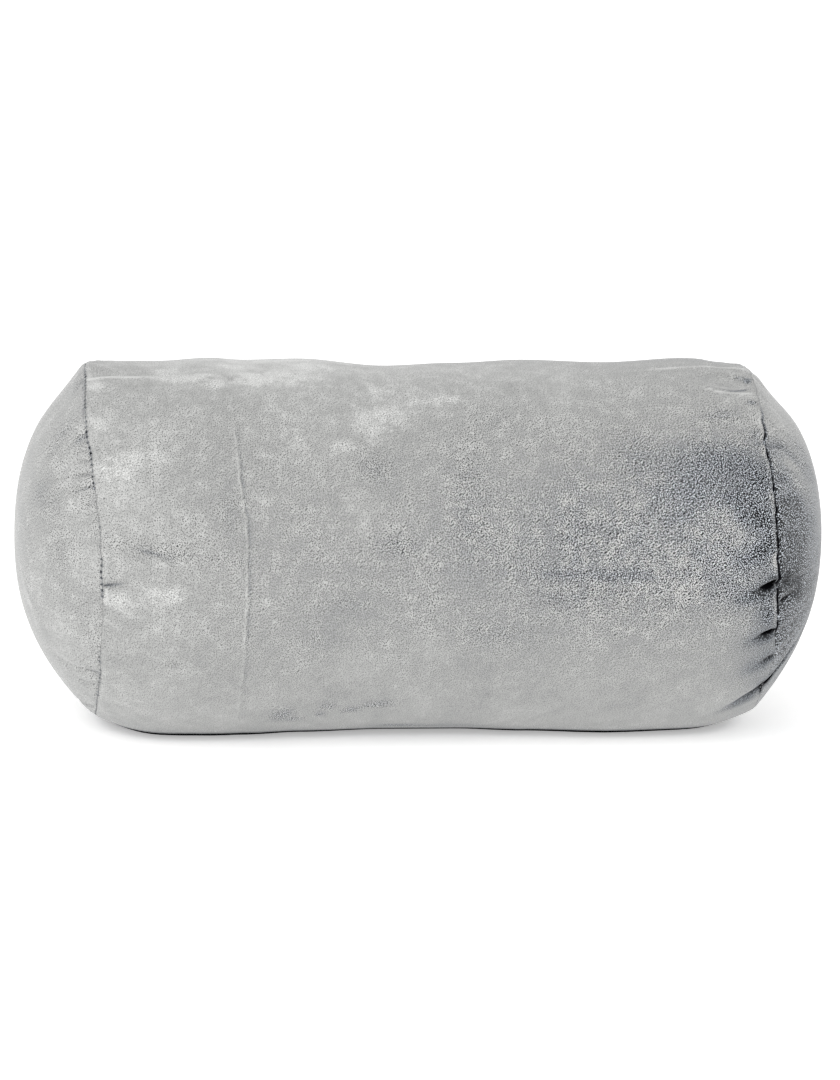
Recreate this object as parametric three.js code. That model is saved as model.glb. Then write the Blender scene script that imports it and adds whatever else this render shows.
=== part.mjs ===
// A round neck pillow lying on its side: a velvet barrel drawn around its filling, and a round panel
// sewn into each end. Millimetres, +Z up. X runs along the roll, the front faces -Y, and the origin is
// the middle of the flattened strip on which the roll rests.

import * as THREE from 'three';

// Driving dimensions
const HALF_BARREL = 164; // middle of the roll to an end seam
const BULGE = 36; // how far an end panel swells past its seam
const PANEL = 2; // thickness of an end panel's cloth
const GAP = 0.3; // clearance between an end panel and the body
const FLOOR = 0; // height of the surface that the roll rests on

// The groove along an end seam, where both cloths round over and dive to the stitching
const GROOVE = 3;
const PUFF = 4.5;

// Over this length the barrel draws in to the size of its end seam
const DRAW_IN = 40;
const DRAW_IN_POWER = 2.2;

// The cover is twisted a little: on the upper front both seams wander to the left, and a panel follows
// its seam only near the rim
const DRIFT = { shift: 4.5, angle: 60, spread: 35 };
const DRIFT_FADE_POWER = 4;

// The barrel's sections along X. press is how far the round section would reach below the surface
// that flattens it, and halfDepth is half its width from front to back.
const SECTIONS = [
  { at: -165, crest: 179.0, press: 4.0, halfDepth: 94.0 },
  { at: -112, crest: 181.2, press: 7.0, halfDepth: 95.5 },
  { at: -60, crest: 181.2, press: 4.6, halfDepth: 94.5 },
  { at: -18, crest: 177.6, press: 3.2, halfDepth: 92.5 },
  { at: 18, crest: 178.6, press: 3.2, halfDepth: 92.8 },
  { at: 52, crest: 180.6, press: 4.6, halfDepth: 94.0 },
  { at: 92, crest: 178.6, press: 6.2, halfDepth: 94.5 },
  { at: 138, crest: 181.0, press: 4.6, halfDepth: 94.0 },
  { at: 165, crest: 178.5, press: 3.8, halfDepth: 93.0 },
];

// The end seams: heights of their top and foot, how far the foot leans inwards, and how full the
// panel is above and below its middle (a higher power keeps its crown wide and its rim steep).
const ENDS = [
  { name: 'left', side: -1, crest: 178.8, foot: 4.5, halfDepth: 88, lean: 3.6, fullTop: 2.65, fullFoot: 2.4 },
  { name: 'right', side: 1, crest: 178.0, foot: 4.5, halfDepth: 88, lean: -2.0, fullTop: 2.9, fullFoot: 2.4 },
];

// Puckers where the gathered seams pull the cloth in. angle is 0 at the front and 90 at the top, slant
// is how far it turns for each millimetre away from the seam, reach is how far it runs from the seam.
const PUCKERS = [
  { end: 'left', cloth: 'barrel', angle: 0, slant: 0.16, width: 3.6, reach: 30, depth: 2.6 },
  { end: 'left', cloth: 'barrel', angle: 9, slant: 0.02, width: 5.5, reach: 36, depth: 1.6 },
  { end: 'left', cloth: 'barrel', angle: -21, slant: 0.1, width: 6, reach: 24, depth: 1.2 },
  { end: 'left', cloth: 'barrel', angle: 42, slant: 0.14, width: 7, reach: 34, depth: 1.2 },
  { end: 'left', cloth: 'panel', angle: 48, slant: 0, width: 3.4, reach: 24, depth: 1.4 },
  { end: 'left', cloth: 'panel', angle: 42, slant: 0, width: 3.4, reach: 30, depth: 1.6 },
  { end: 'left', cloth: 'panel', angle: 33, slant: 0, width: 3.8, reach: 46, depth: 2.0 },
  { end: 'left', cloth: 'panel', angle: 24, slant: 0, width: 3.4, reach: 22, depth: 1.4 },
  { end: 'left', cloth: 'panel', angle: 0, slant: 0, width: 4.5, reach: 22, depth: 1.4 },
  { end: 'left', cloth: 'panel', angle: -36, slant: 0, width: 4.0, reach: 40, depth: 1.2 },
  { end: 'left', cloth: 'panel', angle: -45, slant: 0, width: 3.6, reach: 30, depth: 1.4 },
  { end: 'right', cloth: 'barrel', angle: 78, slant: 0, width: 4.0, reach: 20, depth: 1.6 },
  { end: 'right', cloth: 'barrel', angle: 66, slant: 0, width: 4.5, reach: 34, depth: 1.8 },
  { end: 'right', cloth: 'barrel', angle: 0, slant: -0.14, width: 4.5, reach: 32, depth: 3.4 },
  { end: 'right', cloth: 'barrel', angle: -18, slant: -0.08, width: 4.5, reach: 26, depth: 3.2 },
  { end: 'right', cloth: 'barrel', angle: -30, slant: -0.15, width: 4.2, reach: 26, depth: 2.6 },
  { end: 'right', cloth: 'barrel', angle: -45, slant: -0.7, width: 5.5, reach: 46, depth: 4.0 },
  { end: 'right', cloth: 'panel', angle: 45, slant: 0, width: 3.4, reach: 22, depth: 1.4 },
  { end: 'right', cloth: 'panel', angle: 33, slant: 0, width: 3.4, reach: 24, depth: 1.6 },
  { end: 'right', cloth: 'panel', angle: -12, slant: 0, width: 5.0, reach: 26, depth: 1.2 },
  { end: 'right', cloth: 'panel', angle: -51, slant: 0, width: 4.5, reach: 30, depth: 1.6 },
];

// A pucker starts a little away from the stitching, at full depth from about twice this distance
const PUCKER_RISE = 3;

// Plain, even puckers go on round the back of every seam
const BACK_PUCKERS = { first: 114, last: 258, pitch: 24, width: 5, reach: 24, depth: 1.2 };

// The fold pressed into the cloth round the front: a low ridge from one angle to another, which
// swerves towards the left on its way up
const FOLD = { at: -95, height: 1.3, width: 2.2, from: -58, to: 66, fade: 14 };
const SWERVE = { shift: -5, from: 10, to: 55 };

// Creases along the top, running in from each end seam
const TOP_CREASES = [
  { end: 'left', angle: 75, reach: 74, height: 0.9, width: 3.4 },
  { end: 'right', angle: 84, reach: 56, height: 0.9, width: 3.4 },
];

// The steps of the surfaces: round the roll, away from a seam, across the fold, and over a panel
const COLUMNS = 120;
const SEAM_STEPS = [0.9, 2.4, 4.8, 9, 16, 27, 42];
const FOLD_STEPS = [-6, -2, 0, 2, 6];
const MIDDLE_STEPS = 10;
const PANEL_STEPS = [0.8, 2.2, 4.6, 9, 17, 29, 44, 60, 76];
const UNDER_STEPS = [5.5, 15, 32, 56];

const VELVET = new THREE.MeshStandardMaterial({ color: 0xb2b3b4, roughness: 0.92, metalness: 0 });
const END_VELVET = new THREE.MeshStandardMaterial({ color: 0xb8b9b9, roughness: 0.92, metalness: 0 });

const { degToRad, lerp, smoothstep } = THREE.MathUtils;
const END = Object.fromEntries(ENDS.map((end) => [end.name, end]));

// An angle brought into the range from -180 to 180
function turn(angle) {
  return THREE.MathUtils.euclideanModulo(angle + 180, 360) - 180;
}

// A bell curve: 1 at 0, falling to nothing past twice the width
function bell(distance, width) {
  return Math.exp(-((distance / width) ** 2));
}

// The direction away from the roll's middle line at an angle round it
function outwards(angle) {
  const radians = degToRad(angle);
  return new THREE.Vector3(0, -Math.cos(radians), Math.sin(radians));
}

// A point on an upright oval that lies across X
function ovalPoint(x, crest, foot, halfDepth, angle) {
  const direction = outwards(angle);
  const middle = (crest + foot) / 2;
  const halfHeight = (crest - foot) / 2;
  return new THREE.Vector3(x, halfDepth * direction.y, middle + halfHeight * direction.z);
}

// The barrel's sizes at a place along X, eased from one section to the next
function sectionAt(x) {
  const last = SECTIONS.length - 2;
  const found = SECTIONS.findLastIndex((section) => section.at <= x);
  const index = THREE.MathUtils.clamp(found, 0, last);
  const before = SECTIONS[index];
  const after = SECTIONS[index + 1];
  const share = smoothstep(x, before.at, after.at);
  return {
    crest: lerp(before.crest, after.crest, share),
    foot: FLOOR - lerp(before.press, after.press, share),
    halfDepth: lerp(before.halfDepth, after.halfDepth, share),
  };
}

// Where an end seam lies along X at an angle round the roll
function seamX(end, angle) {
  const lean = (end.lean * (1 - outwards(angle).z)) / 2;
  const drift = DRIFT.shift * bell(turn(angle) - DRIFT.angle, DRIFT.spread);
  return end.side * (HALF_BARREL - lean) - drift;
}

// The end seam's line on the rounded form, before the groove is drawn in
function seamLine(end, angle) {
  return ovalPoint(seamX(end, angle), end.crest, end.foot, end.halfDepth, angle);
}

// Into the roll at an end seam, halfway between the barrel's and the panel's cloth
function inwards(end, angle) {
  return outwards(angle).negate().setX(-end.side).normalize();
}

// From the barrel's cloth towards the panel's cloth at an end seam
function across(end, angle) {
  return outwards(angle).negate().setX(end.side).normalize();
}

// A point at the bottom of the seam's groove, moved across it and deeper into the roll
function groovePoint(end, angle, aside, deeper) {
  return seamLine(end, angle)
    .addScaledVector(inwards(end, angle), GROOVE + deeper)
    .addScaledVector(across(end, angle), aside);
}

// How far the cloth has sunk towards the groove: a quarter circle from the stitching to the puff
function grooveDepth(distance) {
  const share = Math.max(0, 1 - distance / PUFF);
  return GROOVE * (1 - Math.sqrt(1 - share ** 2));
}

// The puckers round the back of one cloth at one end
function backPuckers(end, cloth) {
  const { first, last, pitch, ...form } = BACK_PUCKERS;
  const count = Math.floor((last - first) / pitch) + 1;
  const halfStep = cloth === 'panel' ? pitch / 2 : 0;
  return Array.from({ length: count }, (_, index) => ({
    end,
    cloth,
    angle: first + halfStep + index * pitch,
    slant: 0,
    ...form,
  }));
}

const ALL_PUCKERS = [
  ...PUCKERS,
  ...ENDS.flatMap((end) => ['barrel', 'panel'].flatMap((cloth) => backPuckers(end.name, cloth))),
];

// How deep the puckers pull a cloth in at an angle and a distance from its end seam
function puckerDepth(end, cloth, angle, distance) {
  const rise = distance ** 2 / (distance ** 2 + PUCKER_RISE ** 2);
  let depth = 0;
  for (const pucker of ALL_PUCKERS) {
    const here = pucker.end === end.name && pucker.cloth === cloth && distance < pucker.reach;
    if (!here) continue;
    const aside = turn(angle - pucker.angle - pucker.slant * distance);
    const arc = degToRad(aside) * end.halfDepth;
    const fade = 1 - smoothstep(distance, 0, pucker.reach);
    depth += pucker.depth * bell(arc, pucker.width) * rise * fade;
  }
  return depth;
}

// Where the pressed fold lies along X at an angle round the roll
function foldX(angle) {
  return FOLD.at + SWERVE.shift * smoothstep(turn(angle), SWERVE.from, SWERVE.to);
}

// How far the pressed fold stands out
function foldHeight(x, angle) {
  const begin = smoothstep(turn(angle), FOLD.from, FOLD.from + FOLD.fade);
  const finish = 1 - smoothstep(turn(angle), FOLD.to - FOLD.fade, FOLD.to);
  return FOLD.height * begin * finish * bell(x - foldX(angle), FOLD.width);
}

// How far a crease along the top stands out
function topCreaseHeight(crease, x, angle) {
  const end = END[crease.end];
  const distance = Math.abs(x - seamX(end, angle));
  const arc = degToRad(turn(angle - crease.angle)) * end.halfDepth;
  const begin = smoothstep(distance, 0, PUFF);
  const fade = 1 - smoothstep(distance, 0, crease.reach);
  return crease.height * begin * fade * bell(arc, crease.width);
}

// A point on the barrel's cloth
function barrelPoint(x, angle) {
  const size = sectionAt(x);
  const pull = new THREE.Vector3();
  let relief = foldHeight(x, angle);
  for (const crease of TOP_CREASES) relief += topCreaseHeight(crease, x, angle);
  for (const end of ENDS) {
    const distance = Math.abs(x - seamX(end, angle));
    const share = Math.max(0, 1 - distance / DRAW_IN) ** DRAW_IN_POWER;
    size.crest = lerp(size.crest, end.crest, share);
    size.foot = lerp(size.foot, end.foot, share);
    size.halfDepth = lerp(size.halfDepth, end.halfDepth, share);
    pull.addScaledVector(inwards(end, angle), grooveDepth(distance));
    relief -= puckerDepth(end, 'barrel', angle, distance);
  }
  const point = ovalPoint(x, size.crest, size.foot, size.halfDepth, angle);
  point.add(pull).addScaledVector(outwards(angle), relief);
  point.z = Math.max(point.z, FLOOR);
  return point;
}

// A point on the smooth crown of an end panel. share runs from 0 at its middle to 1 at the seam.
function crownPoint(end, share, angle) {
  const rim = seamLine(end, angle);
  const middle = (end.crest + end.foot) / 2;
  const fullness = lerp(end.fullFoot, end.fullTop, (1 + outwards(angle).z) / 2);
  const base = lerp(end.side * HALF_BARREL, rim.x, share ** DRIFT_FADE_POWER);
  const swell = end.side * BULGE * (1 - share ** fullness);
  return new THREE.Vector3(base + swell, rim.y * share, lerp(middle, rim.z, share));
}

// The way out of an end panel's crown, square to its surface
function crownNormal(end, share, angle) {
  const step = 0.001;
  const swing = 1;
  const along = crownPoint(end, share + step, angle).sub(crownPoint(end, share - step, angle));
  const round = crownPoint(end, share, angle + swing).sub(crownPoint(end, share, angle - swing));
  return round.cross(along).multiplyScalar(end.side).normalize();
}

// A point on an end panel at a distance from its seam, sunk below its outer face by a depth
function panelPoint(end, distance, angle, below) {
  const share = 1 - distance / end.halfDepth;
  const pull = grooveDepth(distance) + puckerDepth(end, 'panel', angle, distance);
  const point = crownPoint(end, share, angle).addScaledVector(inwards(end, angle), pull);
  return point.addScaledVector(crownNormal(end, share, angle), -below);
}

// One closed row of points round the roll
function ring(pointAt) {
  return Array.from({ length: COLUMNS }, (_, column) => pointAt((360 * column) / COLUMNS));
}

// The crown's middle point, sunk below the outer face
function pole(end, below) {
  const point = crownPoint(end, 0, 0);
  point.x -= end.side * below;
  return [point];
}

// The rows of an end panel's face from its middle out to the last step before the seam
function panelRings(end, steps, below) {
  const rings = steps.map((distance) => ring((angle) => panelPoint(end, distance, angle, below)));
  return [pole(end, below), ...rings.reverse()];
}

// A closed skin over rows of points that run from -X to +X, the first and the last a single point.
// Each diagonal climbs from the narrower row, so a panel's inner face and its seat fold alike.
function skin(rings) {
  const starts = [];
  const positions = [];
  for (const points of rings) {
    starts.push(positions.length / 3);
    for (const point of points) positions.push(...point.toArray());
  }
  const indices = [];
  const corner = (row, column) => starts[row] + (column % rings[row].length);
  for (let row = 0; row < rings.length - 1; row += 1) {
    const widens = rings[row + 1][0].y < rings[row][0].y;
    for (let column = 0; column < COLUMNS; column += 1) {
      const here = corner(row, column);
      const above = corner(row, column + 1);
      const next = corner(row + 1, column);
      const nextAbove = corner(row + 1, column + 1);
      if (widens) indices.push(here, next, nextAbove);
      else indices.push(here, next, above);
      if (here === above || next === nextAbove) continue;
      if (widens) indices.push(here, nextAbove, above);
      else indices.push(above, next, nextAbove);
    }
  }
  const geometry = new THREE.BufferGeometry();
  geometry.setAttribute('position', new THREE.Float32BufferAttribute(positions, 3));
  geometry.setIndex(indices);
  geometry.computeVertexNormals();
  return geometry;
}

// The rows of the barrel from the left seam to the right one, closest at the seams and the fold
function barrelRings() {
  const [left, right] = ENDS;
  const lastFold = FOLD_STEPS.at(-1);
  const lastSeam = SEAM_STEPS.at(-1);
  const middle = Array.from({ length: MIDDLE_STEPS - 1 }, (_, index) => (index + 1) / MIDDLE_STEPS);
  const places = [
    ...SEAM_STEPS.map((step) => (angle) => seamX(left, angle) + step),
    ...FOLD_STEPS.map((step) => (angle) => foldX(angle) + step),
    ...middle.map((share) => (angle) => {
      return lerp(foldX(angle) + lastFold, seamX(right, angle) - lastSeam, share);
    }),
    ...SEAM_STEPS.toReversed().map((step) => (angle) => seamX(right, angle) - step),
  ];
  return places.map((place) => ring((angle) => barrelPoint(place(angle), angle)));
}

// The body's rows at one end, from under the panel's middle out to the barrel's edge in the groove
function bodyEndRings(end) {
  const seat = PANEL + GAP;
  return [
    ...panelRings(end, UNDER_STEPS, seat),
    ring((angle) => groovePoint(end, angle, GAP / 2 + seat, GAP)),
    ring((angle) => groovePoint(end, angle, -GAP / 2, GAP)),
  ];
}

// The filled barrel, its ends set back to take the panels
function pillowBody() {
  const [left, right] = ENDS;
  const rings = [...bodyEndRings(left), ...barrelRings(), ...bodyEndRings(right).reverse()];
  const mesh = new THREE.Mesh(skin(rings), VELVET);
  mesh.name = 'pillow_body';
  return mesh;
}

// A round end panel: one layer of cloth, crowned by the filling and turned in at its seam
function endPanel(end) {
  const outer = [
    ...panelRings(end, PANEL_STEPS, 0),
    ring((angle) => groovePoint(end, angle, GAP / 2, 0)),
  ];
  const inner = [
    ...panelRings(end, UNDER_STEPS, PANEL),
    ring((angle) => groovePoint(end, angle, GAP / 2 + PANEL, 0)),
  ];
  const rings = end.side < 0 ? [...outer, ...inner.reverse()] : [...inner, ...outer.reverse()];
  const mesh = new THREE.Mesh(skin(rings), END_VELVET);
  mesh.name = `end_panel_${end.name}`;
  return mesh;
}

const pillow = new THREE.Group();
pillow.add(pillowBody(), ...ENDS.map(endPanel));

export default pillow;
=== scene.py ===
"""A round neck pillow in short grey velvet, dressed on the frame of its solids.

Sizes are millimetres and degrees until a mesh is written. X runs along the roll, the front faces -Y and +Z
is up. An angle round the roll is 0 at the front and 90 at the top. Each end has a round panel, sewn to the
barrel along a puckered seam.
"""

from __future__ import annotations

import logging
from collections.abc import Sequence
from dataclasses import dataclass, field
from enum import Enum

import bpy
import numpy as np
from mathutils import Matrix


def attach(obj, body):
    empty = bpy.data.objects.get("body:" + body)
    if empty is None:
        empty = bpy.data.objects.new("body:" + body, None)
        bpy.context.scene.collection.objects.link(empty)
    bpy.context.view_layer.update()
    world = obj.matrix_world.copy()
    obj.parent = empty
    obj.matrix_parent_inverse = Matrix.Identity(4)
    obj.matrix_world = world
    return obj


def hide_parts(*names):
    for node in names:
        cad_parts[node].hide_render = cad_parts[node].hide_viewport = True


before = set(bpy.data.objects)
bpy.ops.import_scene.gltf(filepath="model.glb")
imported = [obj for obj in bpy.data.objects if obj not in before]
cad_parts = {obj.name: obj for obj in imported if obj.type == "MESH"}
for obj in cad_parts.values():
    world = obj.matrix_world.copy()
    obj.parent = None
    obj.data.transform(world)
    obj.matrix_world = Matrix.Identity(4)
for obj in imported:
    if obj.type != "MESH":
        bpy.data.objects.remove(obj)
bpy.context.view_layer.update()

Array = np.ndarray
Number = np.ndarray | float
Pairs = tuple[tuple[float, float], ...]
Colour = tuple[float, float, float]
Piece = bpy.types.Object
Material = bpy.types.Material
Socket = bpy.types.NodeSocket
LOG = logging.getLogger("neck_pillow")
MM = 0.001
BODY = "root"


class Side(Enum):
    """An end of the roll, as the sign of its place along X."""

    LEFT = -1
    RIGHT = 1


class Cloth(Enum):
    """The cloth on one side of an end seam."""

    BARREL = "barrel"
    PANEL = "panel"


# Driving dimensions, as in the solids
HALF_BARREL = 164.0  # middle of the roll to an end seam
BULGE = 36.0  # how far an end panel swells past its seam
PANEL = 2.0  # thickness of an end panel's cloth
GAP = 0.05  # between the cloths at the stitching, closer than in the solids
GROOVE = 3.0  # depth of the groove along an end seam
PUFF = 2.4  # length of cloth that rounds over into the groove, tighter than in the solids
DRAW_IN = 40.0  # the barrel draws in to its end seam over this length
DRAW_IN_POWER = 2.2
DRIFT_SHIFT, DRIFT_ANGLE, DRIFT_SPREAD = 4.5, 60.0, 35.0  # the seams wander to the left on the upper front
DRIFT_FADE_POWER = 4
MEAN_RADIUS = 91.0  # for lengths round the roll
STITCHES = 178  # along one end seam, 3.1 mm apart
START_ANGLE = -90.0  # the first column of every ring lies on the underside
CROWD, CROWD_ANGLE = 20.0, 20.0  # columns crowd round this angle in front, where the folds are
COLUMNS = 704  # points in the finest rings
# distances of the rings nearest to a seam
SEAM_STEPS = (
    0.25, 0.6, 1, 1.5, 2.1, 2.8, 3.6, 4.5, 5.6, 6.9, 8.3, 9.9, 11.7, 13.7, 15.9, 18.3, 21, 24, 27.5,
)


def bell(distance: Array, width: float) -> Array:
    """A bell curve: 1 at 0, falling to nothing past twice the width."""
    return np.exp(-((distance / width) ** 2))


def smooth(value: Array, low: float, high: float) -> Array:
    """An even step from 0 at low to 1 at high, level at both ends."""
    share = np.clip((value - low) / (high - low), 0.0, 1.0)
    return share * share * (3.0 - 2.0 * share)


def lerp(first: Number, second: Number, share: Number) -> Array:
    """The value that lies a share of the way from first to second."""
    return first + (second - first) * share


def turn(angle: Array) -> Array:
    """An angle brought into the range from -180 to 180."""
    return (angle + 180.0) % 360.0 - 180.0


def outwards(angle: Array) -> Array:
    """The direction away from the roll's middle line: (0, -cos, sin) of the angle."""
    radians = np.radians(angle)
    return np.stack([np.zeros_like(radians), -np.cos(radians), np.sin(radians)], axis=-1)


def unit(vectors: Array) -> Array:
    """Vectors scaled to length 1."""
    return vectors / np.linalg.norm(vectors, axis=-1, keepdims=True)


def ragged(angle: Array, turns: tuple[int, int, int], phase: float) -> Array:
    """An uneven wave round the roll from -1 to 1: three sines, each with a whole number of turns."""
    waves = [np.sin(number * np.radians(angle) + place * phase) for place, number in enumerate(turns, 1)]
    return (waves[0] + 0.8 * waves[1] + 0.6 * waves[2]) / 2.4


def arc_from(middle: Number, angle: Array, radius: Number = MEAN_RADIUS) -> Array:
    """Length round the roll from a middle angle to others, the short way."""
    return np.radians(turn(angle - middle)) * radius


def girth_to(angle: Array) -> Array:
    """Length round the barrel from its underside, where the rings start."""
    return np.radians(angle - START_ANGLE) * MEAN_RADIUS


def between(first: Array, last: Array, count: int) -> list[Array]:
    """Evenly spaced rows between two rows, without those two."""
    return [lerp(first, last, share) for share in np.linspace(0, 1, count + 2)[1:-1]]


def ring_angles(columns: int) -> Array:
    """Angles of one ring, from the underside round, closer together in front than behind."""
    turned = 2 * np.pi * np.arange(columns) / columns
    middle = np.radians(CROWD_ANGLE - START_ANGLE)
    return START_ANGLE + np.degrees(turned) - CROWD * (np.sin(turned - middle) + np.sin(middle))


def oval(x: Array, crest: Array, foot: Array, half_depth: Array, angle: Array) -> Array:
    """Points on upright ovals across X, half_depth deep and reaching from foot to crest.

    Args:
        x: Places along the roll.
        crest: Heights of the ovals' tops.
        foot: Heights of their lowest points.
        half_depth: Half their widths from front to back.
        angle: Angles round the roll.

    Returns:
        The points, one for each angle.
    """
    way = outwards(angle)
    height = (crest + foot) / 2 + (crest - foot) / 2 * way[..., 2]
    return np.stack(np.broadcast_arrays(x, half_depth * way[..., 1], height), axis=-1)


@dataclass(frozen=True)
class Section:
    """The barrel's size at a place along X. It would reach press below the floor, which flattens it."""

    at: float
    crest: float
    press: float
    half_depth: float


SECTIONS = (
    Section(-165, 179.0, 4.0, 94.0),
    Section(-130, 178.9, 6.4, 95.1),
    Section(-104, 180.6, 6.8, 95.5),
    Section(-88, 179.7, 6.2, 95.2),
    Section(-60, 180.5, 4.6, 94.5),
    Section(-18, 177.2, 3.2, 92.5),
    Section(18, 178.8, 3.2, 92.8),
    Section(52, 180.5, 4.6, 94.0),
    Section(92, 179.4, 6.2, 94.5),
    Section(138, 182.0, 4.6, 94.0),
    Section(165, 179.6, 3.8, 93.0),
)


def section_sizes(x: Array) -> tuple[Array, Array, Array]:
    """Crest, foot and half depth of the barrel, eased from one section to the next.

    Args:
        x: Places along the roll.

    Returns:
        The three sizes at each place.
    """
    places = np.array([section.at for section in SECTIONS])
    index = np.clip(np.searchsorted(places, x, side="right") - 1, 0, len(SECTIONS) - 2)
    share = smooth((x - places[index]) / (places[index + 1] - places[index]), 0.0, 1.0)

    def eased(name: str) -> Array:
        """One size of the sections at each place."""
        sizes = np.array([getattr(section, name) for section in SECTIONS])
        return lerp(sizes[index], sizes[index + 1], share)

    return eased("crest"), -eased("press"), eased("half_depth")


@dataclass(frozen=True)
class EndSeam:
    """An end seam and the crown of its panel.

    crest and foot are the heights of the seam's oval, and lean is how far its foot lies inwards. full_top
    and full_foot say how full the panel is above and below its middle, and slack how far its upper shoulder
    lies flatter than that. waver is a fine unevenness of the stitching, and dotted says how far its line of
    painted shade breaks up into dots. Three lists run round the seam as (angle, value): how far it strays
    along
    X, the share of the groove's depth, which is low where the pile hides it, and how dark its painted shade
    line is.
    """

    side: Side
    crest: float
    foot: float
    half_depth: float
    lean: float
    full_top: float
    full_foot: float
    slack: float
    waver: float
    dotted: float
    strays: Pairs
    depths: Pairs
    line_shades: Pairs

    line_width = 0.6  # of the painted shade line along the stitching
    dot_gain = 1.7  # how much darker its dots are than an even line
    slack_at, slack_width = 0.84, 0.11  # the slack's share of the way from the panel's middle to its seam
    slack_angle, slack_spread = 85.0, 40.0  # and its place round the roll

    @property
    def middle(self) -> float:
        """Height of the seam's middle."""
        return (self.crest + self.foot) / 2

    def along(self, angle: Array) -> Array:
        """Where the seam lies along X, with its lean and drift."""
        lean = self.lean * (1 - outwards(angle)[..., 2]) / 2
        drift = DRIFT_SHIFT * bell(turn(angle) - DRIFT_ANGLE, DRIFT_SPREAD)
        waver = self.waver * ragged(angle, (29, 53, 83), 1.7 + self.side.value)
        stray = self._listed(self.strays, angle) + waver
        return self.side.value * (HALF_BARREL - lean) - drift + stray

    @staticmethod
    def _listed(values: Pairs, angle: Array) -> Array:
        """A list's values at angles round the seam."""
        return np.interp(turn(angle), *zip(*values))

    def line(self, angle: Array) -> Array:
        """The seam's line on the rounded form, before the groove is drawn in."""
        size = np.full_like(angle, self.half_depth)
        return oval(self.along(angle), self.crest, self.foot, size, angle)

    @staticmethod
    def _slanted(angle: Array, along: int) -> Array:
        """Halfway between straight in and a step along X."""
        way = -outwards(angle)
        way[..., 0] = along
        return unit(way)

    def inwards(self, angle: Array) -> Array:
        """Into the roll, halfway between the two cloths."""
        return self._slanted(angle, -self.side.value)

    def across(self, angle: Array) -> Array:
        """From the barrel's cloth towards the panel's."""
        return self._slanted(angle, self.side.value)

    def groove(self, angle: Array) -> Array:
        """Depth of the groove round the seam, shallow where the cloths press together."""
        return GROOVE * self._listed(self.depths, angle)

    def line_shade(self, angle: Array) -> Array:
        """How dark the seam's painted shade line is, from 0 to 1."""
        return self._listed(self.line_shades, angle)

    def shadow(self, distance: Array, angle: Array) -> Array:
        """Painted shade at the stitching: how dark the pile is along a thin uneven line, broken into dots.
        """
        dots = (0.5 + 0.5 * np.cos(np.radians(angle) * STITCHES)) ** 4
        uneven = np.clip(0.85 + 0.7 * ragged(angle, (37, 61, 97), 0.9), 0.15, 1.3)
        broken = lerp(1.0, self.dot_gain * dots, self.dotted)
        return self.line_shade(angle) * broken * uneven * bell(distance, self.line_width)

    def sunk(self, distance: Array, angle: Array) -> Array:
        """How far cloth has sunk into the groove: a quarter circle over the puff's length."""
        share = np.clip(1 - distance / PUFF, 0.0, 1.0)
        return self.groove(angle) * (1 - np.sqrt(1 - share**2))

    def groove_point(self, angle: Array, aside: float, deeper: float) -> Array:
        """A point at the bottom of the groove, moved across it and deeper into the roll."""
        down = self.inwards(angle) * (self.groove(angle) + deeper)[..., None]
        return self.line(angle) + down + self.across(angle) * aside

    def crown(self, share: Array, angle: Array) -> Array:
        """Points on the panel's smooth crown.

        The panel swells by BULGE * (1 - share ** fullness), less a bell of slack on its upper shoulder, and
        follows its seam's drift only near the rim.

        Args:
            share: 0 at the panel's middle, 1 at the seam.
            angle: Angles round the roll.

        Returns:
            The points.
        """
        rim = self.line(angle)
        fullness = lerp(self.full_foot, self.full_top, (1 + outwards(angle)[..., 2]) / 2)
        side = self.side.value
        base = lerp(side * HALF_BARREL, rim[..., 0], share**DRIFT_FADE_POWER)
        flat = self.slack * bell(np.abs(share) - self.slack_at, self.slack_width)
        flat = flat * bell(turn(angle) - self.slack_angle, self.slack_spread)
        swell = side * (BULGE * (1 - np.abs(share) ** fullness) - flat)
        height = lerp(self.middle, rim[..., 2], share)
        return np.stack(np.broadcast_arrays(base + swell, rim[..., 1] * share, height), axis=-1)

    def crown_normal(self, share: Array, angle: Array) -> Array:
        """The way out of the crown, square to its surface, from small steps along it and round it."""
        step, swing = 0.001, 1.0
        run = self.crown(share + step, angle) - self.crown(share - step, angle)
        round_it = self.crown(share, angle + swing) - self.crown(share, angle - swing)
        return unit(np.cross(round_it, run)) * self.side.value

    def pole(self, below: float) -> Array:
        """The panel's middle, some way below its outer face."""
        point = self.crown(np.zeros(1), np.zeros(1))
        point[..., 0] -= self.side.value * below
        return point


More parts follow.
